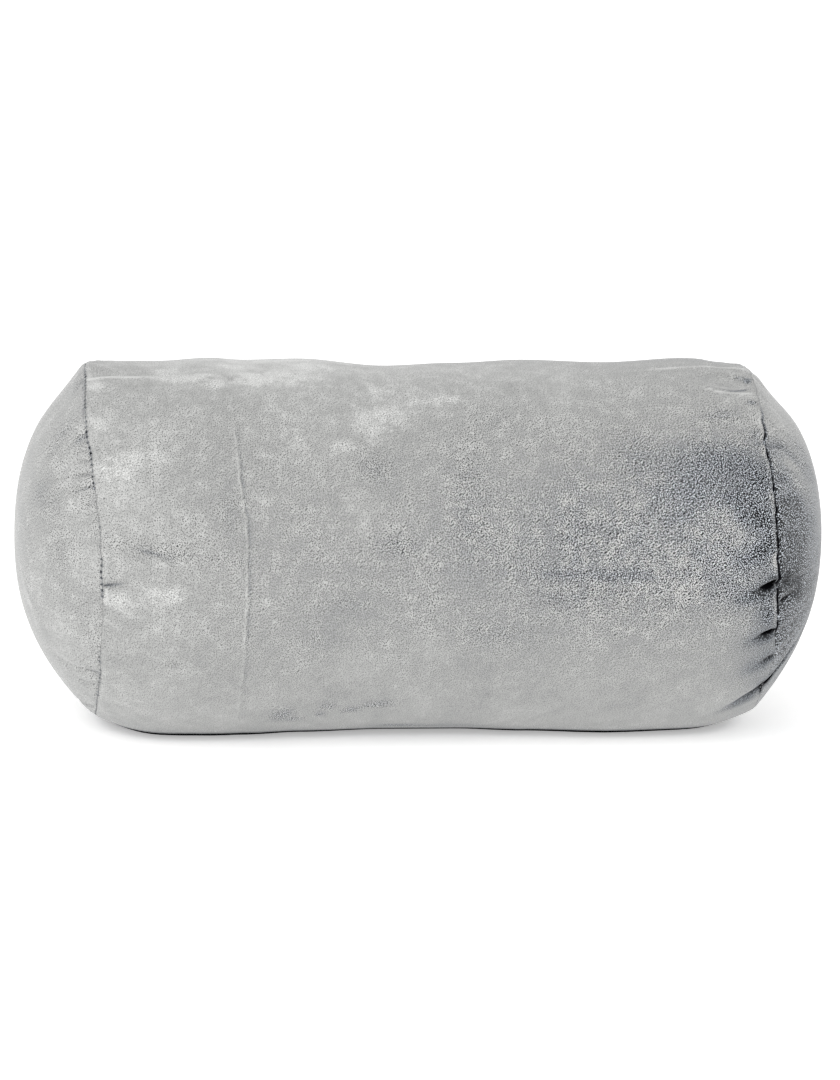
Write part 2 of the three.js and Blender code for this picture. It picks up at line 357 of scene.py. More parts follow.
ENDS = {
    Side.LEFT: EndSeam(
        side=Side.LEFT,
        crest=178.8,
        foot=4.5,
        half_depth=88.0,
        lean=3.6,
        full_top=2.62,
        full_foot=2.28,
        slack=1.7,
        waver=0.25,
        dotted=0.8,
        strays=(
            (-90, 0), (-60, -1.5), (-49, -1.9), (-37, -1.3), (-28, -1.9), (-14, -0.9), (-3, -1.1),
            (1, -1.9), (5, -1), (9, -1.6), (16, -1.2), (29, -2.3), (41, -2), (47, -2.7), (53, -2.2),
            (62, -1.3), (73, -0.6), (88, -1.2), (110, 0),
        ),
        depths=(
            (-180, 0.8), (-100, 0.8), (-75, 0.3), (-50, 0.2), (-30, 0.12), (-20, 0.05), (-8, 0.05),
            (-3, 0.25), (2, 0.15), (15, 0.1), (25, 0.12), (38, 0.22), (46, 0.22), (52, 0.12), (60, 0.1),
            (74, 0.12), (88, 0.2), (105, 0.8), (180, 0.8),
        ),
        # how dark the seam's painted shade line is, round the seam
        line_shades=(
            (-180, 0.5), (-100, 0.5), (-70, 0.15), (-50, 0.3), (-31, 0.35), (-26, 0.12), (-20, 0), (-7, 0),
            (-5.5, 1), (-2.5, 1), (-1, 0.1), (1, 0.6), (5, 0.6), (7, 0.12), (14, 0.1), (15.5, 0.8),
            (17, 0.1), (28, 0.12), (29.5, 0.8), (31, 0.12), (33.5, 0.7), (35, 0.2), (37, 0.7), (42, 0.9),
            (48, 1), (50, 0.3), (56, 0.6), (62, 0.45), (66, 0.2), (72, 0.7), (76, 1), (80, 0.8), (86, 0.3),
            (100, 0.5), (180, 0.5),
        ),
    ),
    Side.RIGHT: EndSeam(
        side=Side.RIGHT,
        crest=178.8,
        foot=4.5,
        half_depth=88.0,
        lean=-2.0,
        full_top=3.05,
        full_foot=2.45,
        slack=2.6,
        waver=0.4,
        dotted=0.15,
        strays=(
            (-60, 0), (-45, -1), (-41, 0.5), (-29, 1.7), (-19, 0.5), (-17, 1.4), (-7, 0.6), (-2.2, -0.6),
            (-0.5, 1.1), (6, 0.2), (19, 0.4), (26, 0.8), (32, 1), (42, 0.8), (45.5, 0.1), (49, 1.6),
            (58, 2.1), (80, 1.5), (110, 0),
        ),
        depths=(
            (-180, 0.8), (-80, 0.6), (-62, 0.1), (-50.5, 0.15), (-47.5, 0.4), (-42.5, 0.4), (-38.5, 0.15),
            (-22, 0.15), (-17, 0.5), (0, 0.6), (45, 0.55), (54, 0.4), (58, 0.2), (62, 0.06), (88, 0.06),
            (105, 0.8), (180, 0.8),
        ),
        # how dark the seam's painted shade line is, round the seam
        line_shades=(
            (-180, 0.5), (-100, 0.5), (-60, 0.05), (-50.5, 0.1), (-47.5, 1), (-42.5, 0.9), (-38.5, 0.1),
            (-22, 0.15), (-19.5, 0.5), (-17, 1), (55, 1), (57, 0.7), (59, 0.15), (70, 0.06), (90, 0.1),
            (105, 0.5), (180, 0.5),
        ),
    ),
}


@dataclass(frozen=True)
class Pucker:
    """A fold where a gathered seam pulls its cloth in.

    It starts at angle and turns by slant for each millimetre away from the seam. Its soft trough is depth
    deep, and a narrow pocket at its root, pit_width wide, sinks by pit more.
    """

    angle: float
    slant: float
    width: float
    reach: float
    depth: float
    pit: float = 0.0
    pit_width: float = 0.9

    shoulder, shoulder_width = 0.3, 2.2  # shares of depth and width that swell up beside the trough
    rise = 2.2  # the trough is half as deep as it gets at this distance from the seam
    pit_rise = 1.0  # and the pocket at this distance
    pit_reach = 0.55  # share of the fold's reach after which the pocket ends

    def trough(self, angle: Array, distance: Array, radius: float) -> Array:
        """Depth of the fold: a bell across it with low shoulders, fading along its reach.

        Args:
            angle: Angles round the roll.
            distance: Distances from the seam.
            radius: The seam's radius, for lengths along it.

        Returns:
            How far the cloth is drawn in.
        """
        arc = arc_from(self.angle + self.slant * distance, angle, radius)
        rise = distance**2 / (distance**2 + self.rise**2)
        fade = 1 - smooth(distance, 0.0, self.reach)
        swell = self.shoulder * bell(arc, self.shoulder_width * self.width)
        return self.depth * (bell(arc, self.width) - swell) * rise * fade

    def pocket(self, angle: Array, distance: Array, radius: float) -> Array:
        """Depth of the narrow pocket at the fold's root, with the same arguments as trough."""
        arc = arc_from(self.angle + self.slant * distance, angle, radius)
        rise = distance**2 / (distance**2 + self.pit_rise**2)
        fade = 1 - smooth(distance, 0.0, self.reach * self.pit_reach)
        return self.pit * np.exp(-np.abs(arc) / self.pit_width) * rise * fade


# angle, slant, width, reach, depth, pit, pit width
FRONT_PUCKERS = {
    (Side.LEFT, Cloth.BARREL): (
        Pucker(-2.6, 0.25, 2.4, 26, 0.8, 2.3, 0.6),
        Pucker(11, 0.02, 5.0, 50, 1.1),
        Pucker(-21, 0.1, 6.0, 24, 0.7),
        Pucker(45, 0.1, 6.0, 34, 0.8),
    ),
    (Side.LEFT, Cloth.PANEL): (
        Pucker(73, 1.2, 2.5, 12, 0.8, 0.6),
        Pucker(47, 0.1, 2.6, 16, 1.2, 0.5),
        Pucker(42, 0.15, 2.2, 20, 1.2, 0.3),
        Pucker(37.5, 0.35, 1.9, 22, 1.4, 0.8, 0.6),
        Pucker(33.2, 0.22, 2.2, 48, 2.0, 0.8, 0.5),
        Pucker(29.4, 0.0, 2.0, 34, 1.5, 0.9, 0.5),
        Pucker(24.8, -0.28, 2.2, 22, 1.5, 0.4, 0.7),
        Pucker(-3, 0, 3.2, 14, 0.7, 0.4),
        Pucker(-35.5, -0.65, 2.2, 38, 1.6, 0.6),
        Pucker(-41.7, -0.8, 2.2, 18, 1.3, 0.3),
        Pucker(-57, -2.8, 5.0, 20, 1.8, 0.5),
    ),
    (Side.RIGHT, Cloth.BARREL): (
        Pucker(45, -0.1, 3.4, 16, 0.9, 0.8),
        Pucker(-1.6, -0.12, 3.2, 23, 1.7, 6.5, 2.1),
        Pucker(-19.0, -0.02, 3.2, 23, 1.6, 5.5, 1.8),
        Pucker(-28.6, -0.2, 3.2, 20, 1.5, 2.2, 2.0),
        Pucker(-45.5, -0.3, 3.8, 34, 2.0, 2.2, 1.5),
        Pucker(-44, 0.1, 3.0, 9, 1.0, 3.5, 1.8),
    ),
    (Side.RIGHT, Cloth.PANEL): (
        Pucker(43, 0.55, 2.4, 30, 1.7, 1.0),
        Pucker(31, 0.4, 2.6, 24, 1.7, 1.0),
        Pucker(24, 0.2, 2.6, 20, 1.4, 0.8),
        Pucker(-9, 0.1, 3.0, 24, 1.7, 1.6),
        Pucker(-30, 0.1, 4.0, 24, 0.8, 0.4),
        Pucker(-43, 0.3, 3.0, 40, 2.2, 4.5, 2.2),
    ),
}
BACK_FIRST, BACK_LAST, BACK_PITCH = 110.0, 258.0, 17.0  # puckers go on round the back of every seam
BACK_WIDTH, BACK_REACH, BACK_DEPTH = 3.8, 32.0, 2.0
BACK_PIT, BACK_PIT_WIDTH = 0.6, 1.2
BACK_SHIFT, BACK_SLANT = 5.0, 0.35  # the most that one is moved and slanted
UNEVEN_REACH, UNEVEN_DEPTH = 0.5, 0.9  # shares by which one is longer or deeper than another


def back_puckers(side: Side, cloth: Cloth) -> list[Pucker]:
    """Puckers round the back of one cloth at one end, the panel's half a pitch aside.

    A slow uneven wave moves, slants, lengthens and deepens each of them.

    Args:
        side: The end.
        cloth: The cloth.

    Returns:
        The puckers.
    """
    aside = BACK_PITCH / 2 if cloth is Cloth.PANEL else 0.0
    angles = np.arange(BACK_FIRST, BACK_LAST, BACK_PITCH) + aside
    sways = ragged(angles, (7, 19, 41), 2.0 * side.value + aside)
    return [
        Pucker(
            angle=angle + BACK_SHIFT * sway,
            slant=BACK_SLANT * sway,
            width=BACK_WIDTH,
            reach=BACK_REACH * (1 + UNEVEN_REACH * sway),
            depth=BACK_DEPTH * (1 + UNEVEN_DEPTH * sway),
            pit=BACK_PIT * (1 + UNEVEN_DEPTH * sway),
            pit_width=BACK_PIT_WIDTH,
        )
        for angle, sway in zip(angles, sways)
    ]


def pucker_depths(side: Side, cloth: Cloth, angle: Array, distance: Array) -> tuple[Array, Array]:
    """Troughs and pockets of all puckers of one cloth at one end, added up.

    Args:
        side: The end.
        cloth: The cloth.
        angle: Angles round the roll.
        distance: Distances from the end seam.

    Returns:
        How far the troughs and how far the pockets draw the cloth in.
    """
    radius = ENDS[side].half_depth
    trough = np.zeros(np.broadcast(angle, distance).shape)
    pocket = np.zeros_like(trough)
    for pucker in (*FRONT_PUCKERS[side, cloth], *back_puckers(side, cloth)):
        trough += pucker.trough(angle, distance, radius)
        pocket += pucker.pocket(angle, distance, radius)
    return trough, pocket


@dataclass(frozen=True)
class PressedFold:
    """The fold line pressed into the barrel's front: a thin ridge that swerves left on its way up."""

    at: float = -95.0
    height: float = 0.4
    width: float = 0.8
    begin: float = -58.0
    end: float = 60.0
    fade: float = 20.0
    faint_to: float = -5.0  # the fold is fainter below this angle
    swerve: float = -4.0
    swerve_from: float = 10.0
    swerve_to: float = 45.0
    stray: float = 0.5
    faint: float = 0.4
    faint_over: float = 25.0
    trough: float = 0.6  # the trough beside the ridge, as a share of its height
    trough_at: float = 1.9
    trough_width: float = 1.3
    light: float = 0.11  # painted highlight: how much lighter the ridge looks
    light_width: float = 0.6
    dark: float = 0.08  # painted shade: how much darker its right side looks
    dark_at: float = 1.4
    dark_width: float = 0.9

    def along(self, angle: Array) -> Array:
        """Where the fold lies along X, straying a little from its line."""
        stray = self.stray * ragged(angle, (17, 43, 71), 2.3)
        return self.at + self.swerve * smooth(turn(angle), self.swerve_from, self.swerve_to) + stray

    def strength(self, angle: Array) -> Array:
        """About 1 along the fold, uneven, fading to 0 at its two ends."""
        begun = smooth(turn(angle), self.begin, self.begin + self.fade)
        ended = smooth(turn(angle), self.end - self.fade, self.end)
        clear = lerp(self.faint, 1.0, smooth(turn(angle), self.faint_to - self.faint_over, self.faint_to))
        return begun * (1 - ended) * clear * (0.8 + 0.6 * ragged(angle, (23, 47, 79), 0.4))

    def ridge(self, x: Array, angle: Array) -> Array:
        """Height of the ridge: a bell across it, with a shallow trough along its right side."""
        aside = x - self.along(angle)
        trough = self.trough * bell(aside - self.trough_at, self.trough_width)
        return self.height * self.strength(angle) * (bell(aside, self.width) - trough)

    def tone(self, x: Array, angle: Array) -> Array:
        """How much lighter the pile looks: a painted highlight along the ridge and painted shade along its
        trough.
        """
        aside = x - self.along(angle)
        light = self.light * bell(aside, self.light_width)
        return self.strength(angle) * (light - self.dark * bell(aside - self.dark_at, self.dark_width))


FOLD = PressedFold()


@dataclass(frozen=True)
class Crease:
    """A thin crease along the barrel, as a path of (x, angle) that fades at both ends.

    It stands up by height, or is a groove where that is negative. Its tone is painted light: a highlight
    along a ridge, and painted shade, below 0, along a groove. It fades in over the first of its two fades
    and out over the second.
    """

    path: Pairs
    width: float
    height: float
    tone: float
    fades: tuple[float, float]

    def weight(self, x: Array, angle: Array) -> Array:
        """1 on the crease and 0 away from it, uneven along it."""
        places, angles = zip(*self.path)
        arc = arc_from(np.interp(x, places, angles), angle)
        begun = smooth(x, places[0], places[0] + self.fades[0])
        ended = smooth(x, places[-1] - self.fades[1], places[-1])
        uneven = 0.85 + 0.4 * ragged(x, (7, 13, 23), 0.7)
        return uneven * begun * (1 - ended) * bell(arc, self.width)


# path, width, height, tone, fades
CREASES = (
    Crease(
        ((-172, 72.5), (-168, 74), (-164, 75), (-154, 76), (-142, 76.5), (-126, 77.5)),
        1.0, 0.6, 0.26, (2, 26),
    ),
    Crease(((104, 82), (119, 82), (132, 82.3), (145, 84), (156, 85), (164, 84)), 1.1, 0.6, 0.24, (20, 4)),
    Crease(((131, 69.5), (136, 68), (140, 66.3), (146, 66), (153, 66.6), (162, 67)), 0.9, 0.5, 0.22, (6, 6)),
    Crease(((146, 67.2), (149, 67.5), (153, 68.3), (158, 69.5)), 0.7, -0.3, -0.28, (2, 3)),
    Crease(((-164, 13), (-140, 12), (-80, 7.5), (0, 5), (60, 4), (112, 4)), 1.4, -0.22, -0.02, (40, 40)),
    Crease(((-149, 11.5), (-138, 11), (-131, 9)), 0.7, -0.4, -0.10, (4, 4)),
    Crease(((-163, -13), (-155, -15.5)), 0.7, 0.3, 0.08, (2, 2)),
)


@dataclass(frozen=True)
class Dent:
    """An oval hollow in the barrel, or a swelling where depth is negative. edge is its sloping share."""

    x: float
    angle: float
    half_length: float
    half_height: float
    depth: float
    edge: float

    def sunk(self, x: Array, angle: Array) -> Array:
        """Depth of the hollow: level in its middle and eased out over its edge."""
        arc = arc_from(self.angle, angle)
        reach = np.hypot((x - self.x) / self.half_length, arc / self.half_height)
        return self.depth * (1 - smooth(reach, 1 - self.edge, 1.0))


# x, angle, half length, half height, depth, edge
DENTS = (
    Dent(147, 74, 17, 10, 1.3, 0.5),
    Dent(-112, 73, 9, 9, -0.7, 0.6),
    Dent(-30, 40, 46, 34, 0.9, 1.0),
    Dent(60, 8, 70, 22, 0.8, 1.0),
    Dent(118, 30, 40, 26, 0.8, 1.0),
    Dent(-60, -20, 50, 30, 0.6, 1.0),
)


PILE = ("tone", "stand", "brushed")  # what is kept of the pile at each point; tone also holds painted light and shade
BARREL_TONE, PANEL_TONE = 0.694, 0.72  # how light the plain cloth looks
BARREL_PILE = (BARREL_TONE, 0.45, 0.0)
PANEL_PILE = (PANEL_TONE, 0.5, 0.0)
SEAM_SHADE, RIM_SHADE, UNDER_SHADE = 0.75, 0.6, 0.3  # painted shade: how much darker at a seam, in it and under a panel
SEAM_HIGHLIGHT, LIGHT_AT, LIGHT_WIDTH = 0.08, 2.0, 1.0  # painted highlight: lighter beside a dark seam, this far from it
POCKET_SHADE, POCKET_FULL = 0.22, 3.0  # painted shade: darker by this for each millimetre of a pocket, down to this depth
FLOOR_SHADE, FLOOR_NEAR, FLOOR_FAR = 0.75, 1.6, 4.4  # painted contact shadow: darker where the cloth is this near the floor


@dataclass(frozen=True)
class NapAndShadingPatch:
    """A patch of pile brushed one way, as an oval with soft edges.

    On the barrel, at is a place along X. On a panel it is a distance from the seam. tone is how much
    lighter the patch looks and stand how much more its pile stands up as grain. tilt turns the patch, up to
    the right where positive. brushed is 1 for flat pile: frosty, with bright tips and a ragged edge. A few
    patches are painted light instead: painted shade in pockets and along a panel fold, and painted sheen
    along the top.
    """

    at: float
    angle: float
    half_length: float
    half_height: float
    tilt: float
    tone: float
    stand: float
    brushed: float = 0.0

    def weight(self, along: Array, arc: Array) -> Array:
        """How strongly the patch shows at places along it and across it, before its tilt."""
        radians = np.radians(self.tilt)
        length = along * np.cos(radians) + arc * np.sin(radians)
        height = arc * np.cos(radians) - along * np.sin(radians)
        return np.exp(-((length / self.half_length) ** 2) - (height / self.half_height) ** 2)


def patches(*rows: Sequence[float]) -> tuple[NapAndShadingPatch, ...]:
    """Patches from rows of at, angle, half length, half height, tilt, tone, stand and brushed."""
    return tuple(NapAndShadingPatch(*row) for row in rows)


# The first eight patches lie on the back, which is guessed
BARREL_NAP = patches(
    (-95, 135, 55, 30, 8, 0.05, 0, 0.4), (-30, 165, 40, 20, -6, 0.03, 0.1, 0.8),
    (40, 130, 30, 16, 12, 0.03, 0, 0.8), (75, 165, 60, 30, 0, -0.06, 0.4),
    (125, 125, 30, 18, -10, -0.08, 0.5), (-135, 180, 26, 30, 0, -0.05, 0.3),
    (135, 185, 24, 18, 0, 0.04, 0, 0.6), (10, 200, 90, 18, 3, -0.05, 0.3),
    (-150, 10, 46, 110, 0, 0.05, 0), (90, 12, 90, 36, 0, -0.06, 0.2), (122, 17, 74, 42, 0, -0.005, 0.7),
    (20, 12, 45, 30, 0, 0, 0.05), (-20, 74, 190, 34, 0, 0.045, 0), (-50, 48, 40, 34, 0, 0.035, 0),
    (162, -25, 14, 60, 0, -0.09, 0), (-80, 88, 75, 28, 0, 0.08, -0.1), (40, 80, 40, 16, 0, 0.04, -0.1),
    # (0, -50) is smoother brushed pile on the lower front, and its lighter tone is partly painted floor
    # light
    (0, -50, 220, 30, 0, 0.025, -0.45), (-149, 39.5, 17, 7, 16, 0.02, 0, 1),
    (-157, 34, 9, 11, 0, 0.02, 0, 1), (-164, 70, 5, 7, 0, 0.07, 0, 0.8),
    (-164, 51, 5, 9, 0, 0.06, 0, 0.8), (-150, 51, 14, 7, 0, 0.03, 0), (-154, 26, 16, 14, 0, 0.03, 0, 0.4),
    (-133, -1.5, 14, 4.5, 10, 0.02, 0, 1), (-157, -6.5, 9, 5, 0, 0.03, 0, 1),
    (-138, 11.5, 18, 4, -4, -0.05, 0.3), (-100, 8, 20, 4, -3, 0.01, 0.2),
    (-148, -12, 8, 4, 0, -0.03, -0.1), (-129, -24, 3, 2, 0, -0.06, 0.3), (-160, 82, 6, 6, 0, -0.05, 0),
    (-146, 84, 12, 5, 0, -0.04, -0.1), (-114, 84, 8, 5, 0, -0.06, -0.1), (-80, 86, 7, 4, 0, -0.05, -0.1),
    (-118, 75, 15, 6, 0, 0.02, 0, 1), (-130, 80, 10, 7, 0, 0.01, 0, 1), (-70, 93, 45, 6, 0, 0.03, 0, 0.8),
    (-106, 70, 6, 8, 0, 0.03, 0, 1), (-86, 75, 14, 8, 0, 0.02, 0, 1), (-68, 75, 14, 8, -10, 0.02, 0, 1),
    (-96, 84, 9, 5, 0, 0.02, 0, 1), (-58, 84, 16, 7, 0, 0.02, 0, 1), (-95, 87, 45, 9, 0, 0.04, 0),
    (8, 88, 30, 8, 0, 0.03, 0), (115, 90, 25, 6, 0, 0.03, 0), (150, 64, 14, 4, 0, 0.03, 0),
    # (-80, 97) is painted sheen along the top edge, where the pile catches grazing light
    (-98, 74, 1.6, 4, -30, -0.1, 0.1), (-85, 76, 30, 12, 0, 0.03, -0.1), (-80, 97, 90, 10, 0, 0.05, 0),
    (-29, 56, 17, 10, 25, 0.035, 0, 1), (-47, 44, 7, 7, 30, 0.01, 0, 0.6),
    (2, 64, 16, 5, 5, 0.02, 0, 0.9), (-26, 69, 6, 9, 0, 0.02, 0, 0.9), (-72, 47, 6, 7, 0, 0, 0, 0.7),
    (44, 36, 12, 10, 0, 0.03, 0), (100, 19, 8, 8, 0, -0.04, 0.1), (138, 27, 18, 7, 0, -0.05, 0.1),
    (160, 13, 6, 6, 0, -0.08, 0.1), (140, 3, 20, 5, 5, -0.06, 0.2), (-40, 24, 9, 13, 0, 0.05, 0),
    (-4, -20, 10, 9, 0, 0.05, 0), (-20, -28, 130, 20, 0, 0, -0.12), (58, -3, 12, 5, 0, -0.04, 0.2),
    (140, 55, 8, 5, 0, -0.08, 0.4), (62, 68, 10, 24, 0, 0.03, -0.1), (-42, -27, 16, 12, 0, 0.03, -0.1),
    (-32, 38, 9, 9, 0, -0.06, 0.2), (-22, 13, 9, 5, 0, -0.05, 0.4), (12, 28, 8, 30, 0, -0.03, 0.2),
    (28, 55, 10, 8, 0, -0.03, 0.1), (-104, 24, 6, 14, 0, -0.04, 0.1), (-46, -5, 10, 6, 0, -0.03, 0.1),
    (-57, -16, 8, 10, 20, -0.03, 0.1), (25, -15, 20, 7, 0, -0.03, 0.2), (52, 4.5, 12, 4, 0, -0.05, 0.3),
    (85, 4.5, 20, 4, 2, -0.07, 0.3), (63, 18, 6, 22, 0, -0.03, 0.3), (95, 42, 10, 12, 0, -0.05, 0.2),
    (138, 38, 32, 12, -3, -0.15, 0.4), (121, 28, 12, 12, 0, -0.1, 0.3), (152, 31, 14, 11, 0, -0.11, 0.2),
    (156, 20, 11, 8, -20, -0.18, 0.3), (155, 9, 12, 6, 0, -0.13, 0.3), (159, 10.5, 6, 3.5, 0, -0.09, 0.2),
    (149, 7.2, 10, 2.5, 4, -0.09, 0.3), (162.5, 6.8, 2.5, 2.5, 0, 0.12, 0),
    (159, -10.5, 5, 6, 0, -0.1, 0.5), (157, 18, 5, 3, 0, -0.06, 0.2), (100, -25, 55, 26, 0, 0, -0.16),
    (-130, -18, 40, 26, 0, 0, -0.12), (147, 23, 7, 4, 0, -0.05, 0.2), (142, 26, 6, 4, 0, -0.07, 0.2),
    (158, 32, 4, 4, 0, -0.06, 0.1), (106, 28, 7, 5, 0, -0.07, 0.2), (125, -1, 8, 4, 0, 0.05, -0.1),
    (112, 8, 9, 5, 0, 0.03, 0), (128, 10, 10, 6, 0, -0.06, 0.3), (136, -2, 14, 5, 8, -0.07, 0.3),
    # (165.5, -42.5) is painted black shadow in the pocket where the cloth tucks into the seam
    (153, -4, 11, 4, 17, -0.18, 0.2), (165.5, -42.5, 3.4, 4.2, 0, -0.9, 0),
    (158, -18.5, 9, 4, 15, -0.12, 0.2), (159, -30, 9, 5, 20, -0.12, 0.2), (154, -50, 12, 4, 22, -0.12, 0),
    (140, 92, 30, 8, 0, -0.06, -0.1), (155, 78, 2.2, 1.8, 0, -0.12, 0.5),
    (159, 76, 1.8, 2.6, 0, -0.31, 0.5), (157.5, 62, 3, 2, 0, -0.16, 0.5),
    (-73, -49, 6, 7, -20, -0.12, 1.2), (-66, -53, 5, 3, 0, -0.1, 1), (-51, -45, 4, 4, 0, -0.08, 1.2),
    (-54, -50, 3, 3, 0, -0.11, 1), (-40, -48, 4, 3, 0, -0.12, 1.2), (-27, -45, 9, 4, 10, -0.09, 1.2),
    (-14, -63, 9, 3, 0, -0.12, 0.8), (6, -64, 26, 3, 0, -0.12, 0.4), (162, -12, 4, 4, 0, -0.08, 0.2),
    (160, 30, 4, 4, 0, -0.09, 0.2), (157, 48, 5, 4, 0, -0.08, 0.2), (148, 20, 6, 4, 0, -0.08, 0.2),
    (114, 20, 7, 5, 0, -0.07, 0.2), (159, -4.5, 5, 3, 0, -0.08, 0.2),
)
LEFT_NAP = patches(
    (4, 48, 4, 4, 0, -0.1, 0.6), (10, 38, 10, 8, 0, 0.04, 0.1), (20, 5, 30, 16, 0, 0.02, 0),
    (20, -30, 12, 12, 0, 0.05, 0), (12, 19, 8, 10, 0, 0.03, 0), (58, 25, 14, 26, 0, -0.04, 0),
    (5, 76, 6, 4, 0, -0.05, 0.2), (6, 82, 6, 5, 0, -0.05, 0.1), (26, 77, 10, 5, 0, 0.05, 0, 0.5),
    (35, 38, 7, 6, 0, -0.06, 0.1), (29, 29, 8, 7, 0, -0.05, 0.1), (22, 8, 10, 12, 0, -0.03, 0.2),
    (40, -12, 8, 10, 0, 0.02, 0, 0.5), (45, 150, 26, 30, 0, -0.04, 0.2),
    # (46, -33.5) and (52, -38) are painted shade and a painted highlight along a fold low on the panel
    (25, 210, 20, 28, 0, 0.04, 0, 0.4), (6, -70, 8, 12, 0, -0.06, 0), (46, -33.5, 12, 1.4, 23, -0.07, 0),
    (52, -38, 14, 3, 23, 0.05, 0), (13, 58, 8, 6, 0, -0.06, 0.1), (22, 54, 7, 6, 0, -0.04, 0.1),
    (3, 50, 4, 5, 0, 0.05, 0), (7, 4, 7, 10, 0, 0.045, 0), (20, -42, 8, 7, 0, 0.05, 0),
)
RIGHT_NAP = patches(
    (6, 22, 12, 22, 0, -0.23, 0.9), (7, 0, 14, 26, 0, -0.3, 1), (8, -24, 12, 18, 0, -0.17, 0.7),
    (14, -8, 6, 8, 0, -0.08, 0.2), (4, -3, 4, 8, 0, -0.14, 0.2), (3, -8, 4, 3, 0, -0.12, 0.1),
    (22, 20, 8, 8, 0, -0.08, 0.2), (20, -16, 8, 7, 0, -0.11, 0.2), (9, -31, 6, 8, 0, -0.05, 0.2),
    (10, 12, 6, 5, 0, -0.06, 0.2), (9, 26, 5, 5, 0, -0.07, 0.2), (15, 33, 5, 4, 0, 0.05, 0),
    (22, 54, 14, 8, 0, -0.06, 0.1), (50, 120, 30, 30, 0, 0.05, 0.1), (30, 200, 24, 30, 0, -0.05, 0.3),
    (4, 43, 7, 8, 0, -0.12, 0.5), (15, 46, 9, 3, -30, -0.08, 0.3), (10, 41, 7, 4, 0, 0.08, -0.5),
    (11, 0, 9, 16, 0, -0.08, 0.4), (5, -20, 6, 8, 0, -0.1, 0.3), (45, 20, 28, 60, 0, -0.16, 0.1),
    # (2.5, -42.5) is painted black shadow in the pocket where the cloth tucks into the seam
    (32, -20, 22, 28, 0, -0.19, 0.2), (14, -62, 16, 26, 0, -0.22, 0), (2.5, -42.5, 4, 5.5, 0, -0.75, 0),
    (8, -37, 7, 9, 0, -0.13, 0), (18, -4, 7, 7, 0, -0.09, 0.2), (3, -1, 4, 4, 0, -0.09, 0.2),
    (4, -28, 4, 5, 0, -0.09, 0.2), (26, -12, 7, 7, 0, -0.06, 0.1), (6, 28, 4, 4, 0, 0.08, 0),
    (4, 33, 3, 3, 0, -0.08, 0.2), (29, 44, 7, 6, 0, -0.06, 0.1),
)


def pile_of(
    nap: Sequence[NapAndShadingPatch], plain: Sequence[float], along: Array, angle: Array, radius: Number
) -> tuple[Array, Array, Array]:
    """The pile of a cloth: tone and stand with all patches added, and the most that any is brushed.

    Args:
        nap: The cloth's patches.
        plain: The plain cloth's pile.
        along: Places, as the patches' at counts them.
        angle: Angles round the roll.
        radius: Distance from the roll's middle line, for lengths round it.

    Returns:
        Its values in the order of PILE.
    """
    tone, stand, brushed = (np.full(angle.shape, value) for value in plain)
    for patch in nap:
        weight = patch.weight(along - patch.at, arc_from(patch.angle, angle, radius))
        tone += patch.tone * weight
        stand += patch.stand * weight
        brushed = np.maximum(brushed, patch.brushed * weight)
    return tone, stand, brushed


def pocket_shade(pockets: Array) -> Array:
    """Painted shade in pockets of some depth: how much darker the pile is there."""
    return POCKET_SHADE * np.minimum(pockets, POCKET_FULL)


def cubic(values: Array, at: Array, axis: int, wraps: bool) -> Array:
    """Values read at fractional indices along one axis, by Catmull-Rom steps.

    Args:
        values: A grid of values.
        at: Fractional indices, in one row.
        axis: The axis that they run along.
        wraps: True where the axis closes on itself.

    Returns:
        The grid with that axis read anew.
    """
    base = np.floor(at).astype(int)
    t = at - base
    weights = (
        -0.5 * t + t**2 - 0.5 * t**3,
        1 - 2.5 * t**2 + 1.5 * t**3,
        0.5 * t + 2 * t**2 - 1.5 * t**3,
        0.5 * t**3 - 0.5 * t**2,
    )
    size = values.shape[axis]
    shape = [1, 1]
    shape[axis] = -1
    total = 0.0
    for step, weight in zip((-1, 0, 1, 2), weights):
        index = (base + step) % size if wraps else np.clip(base + step, 0, size - 1)
        total = total + weight.reshape(shape) * np.take(values, index, axis)
    return total


def softened(values: Array, passes: int) -> Array:
    """A grid of rings smoothed round each ring by (1, 2, 1) passes."""
    for _ in range(passes):
        values = (np.roll(values, 1, axis=1) + 2 * values + np.roll(values, -1, axis=1)) / 4
    return values


def ring_faces(counts: Sequence[int]) -> list[Array]:
    """Faces of a skin over rings of points that follow each other along X.

    Neighbouring rings have the same number of points, or one has half as many, or is a single point.

    Args:
        counts: The number of points in each ring.

    Returns:
        Arrays of quads and triangles, as indices into the rings' points in one list.
    """
    faces = []
    start = 0
    for count, following in zip(counts, counts[1:]):
        here = start + np.arange(count)
        there = start + count + np.arange(following)
        if count == following:
            faces.append(np.stack([here, there, np.roll(there, -1), np.roll(here, -1)], axis=1))
        elif min(count, following) == 1:
            many, single = (there, here) if count == 1 else (here[::-1], there)
            faces.append(np.stack([np.full(len(many), single[0]), many, np.roll(many, -1)], axis=1))
        else:
            few, many = (here, there) if count < following else (there[::-1], here[::-1])
            if count > following:
                many = np.roll(many, -1)
            few_next, even, odd = np.roll(few, -1), many[::2], many[1::2]
            even_next = np.roll(even, -1)
            faces.append(np.stack([few, even, odd], axis=1))
            faces.append(np.stack([few, odd, few_next], axis=1))
            faces.append(np.stack([few_next, odd, even_next], axis=1))
        start += count
    return faces


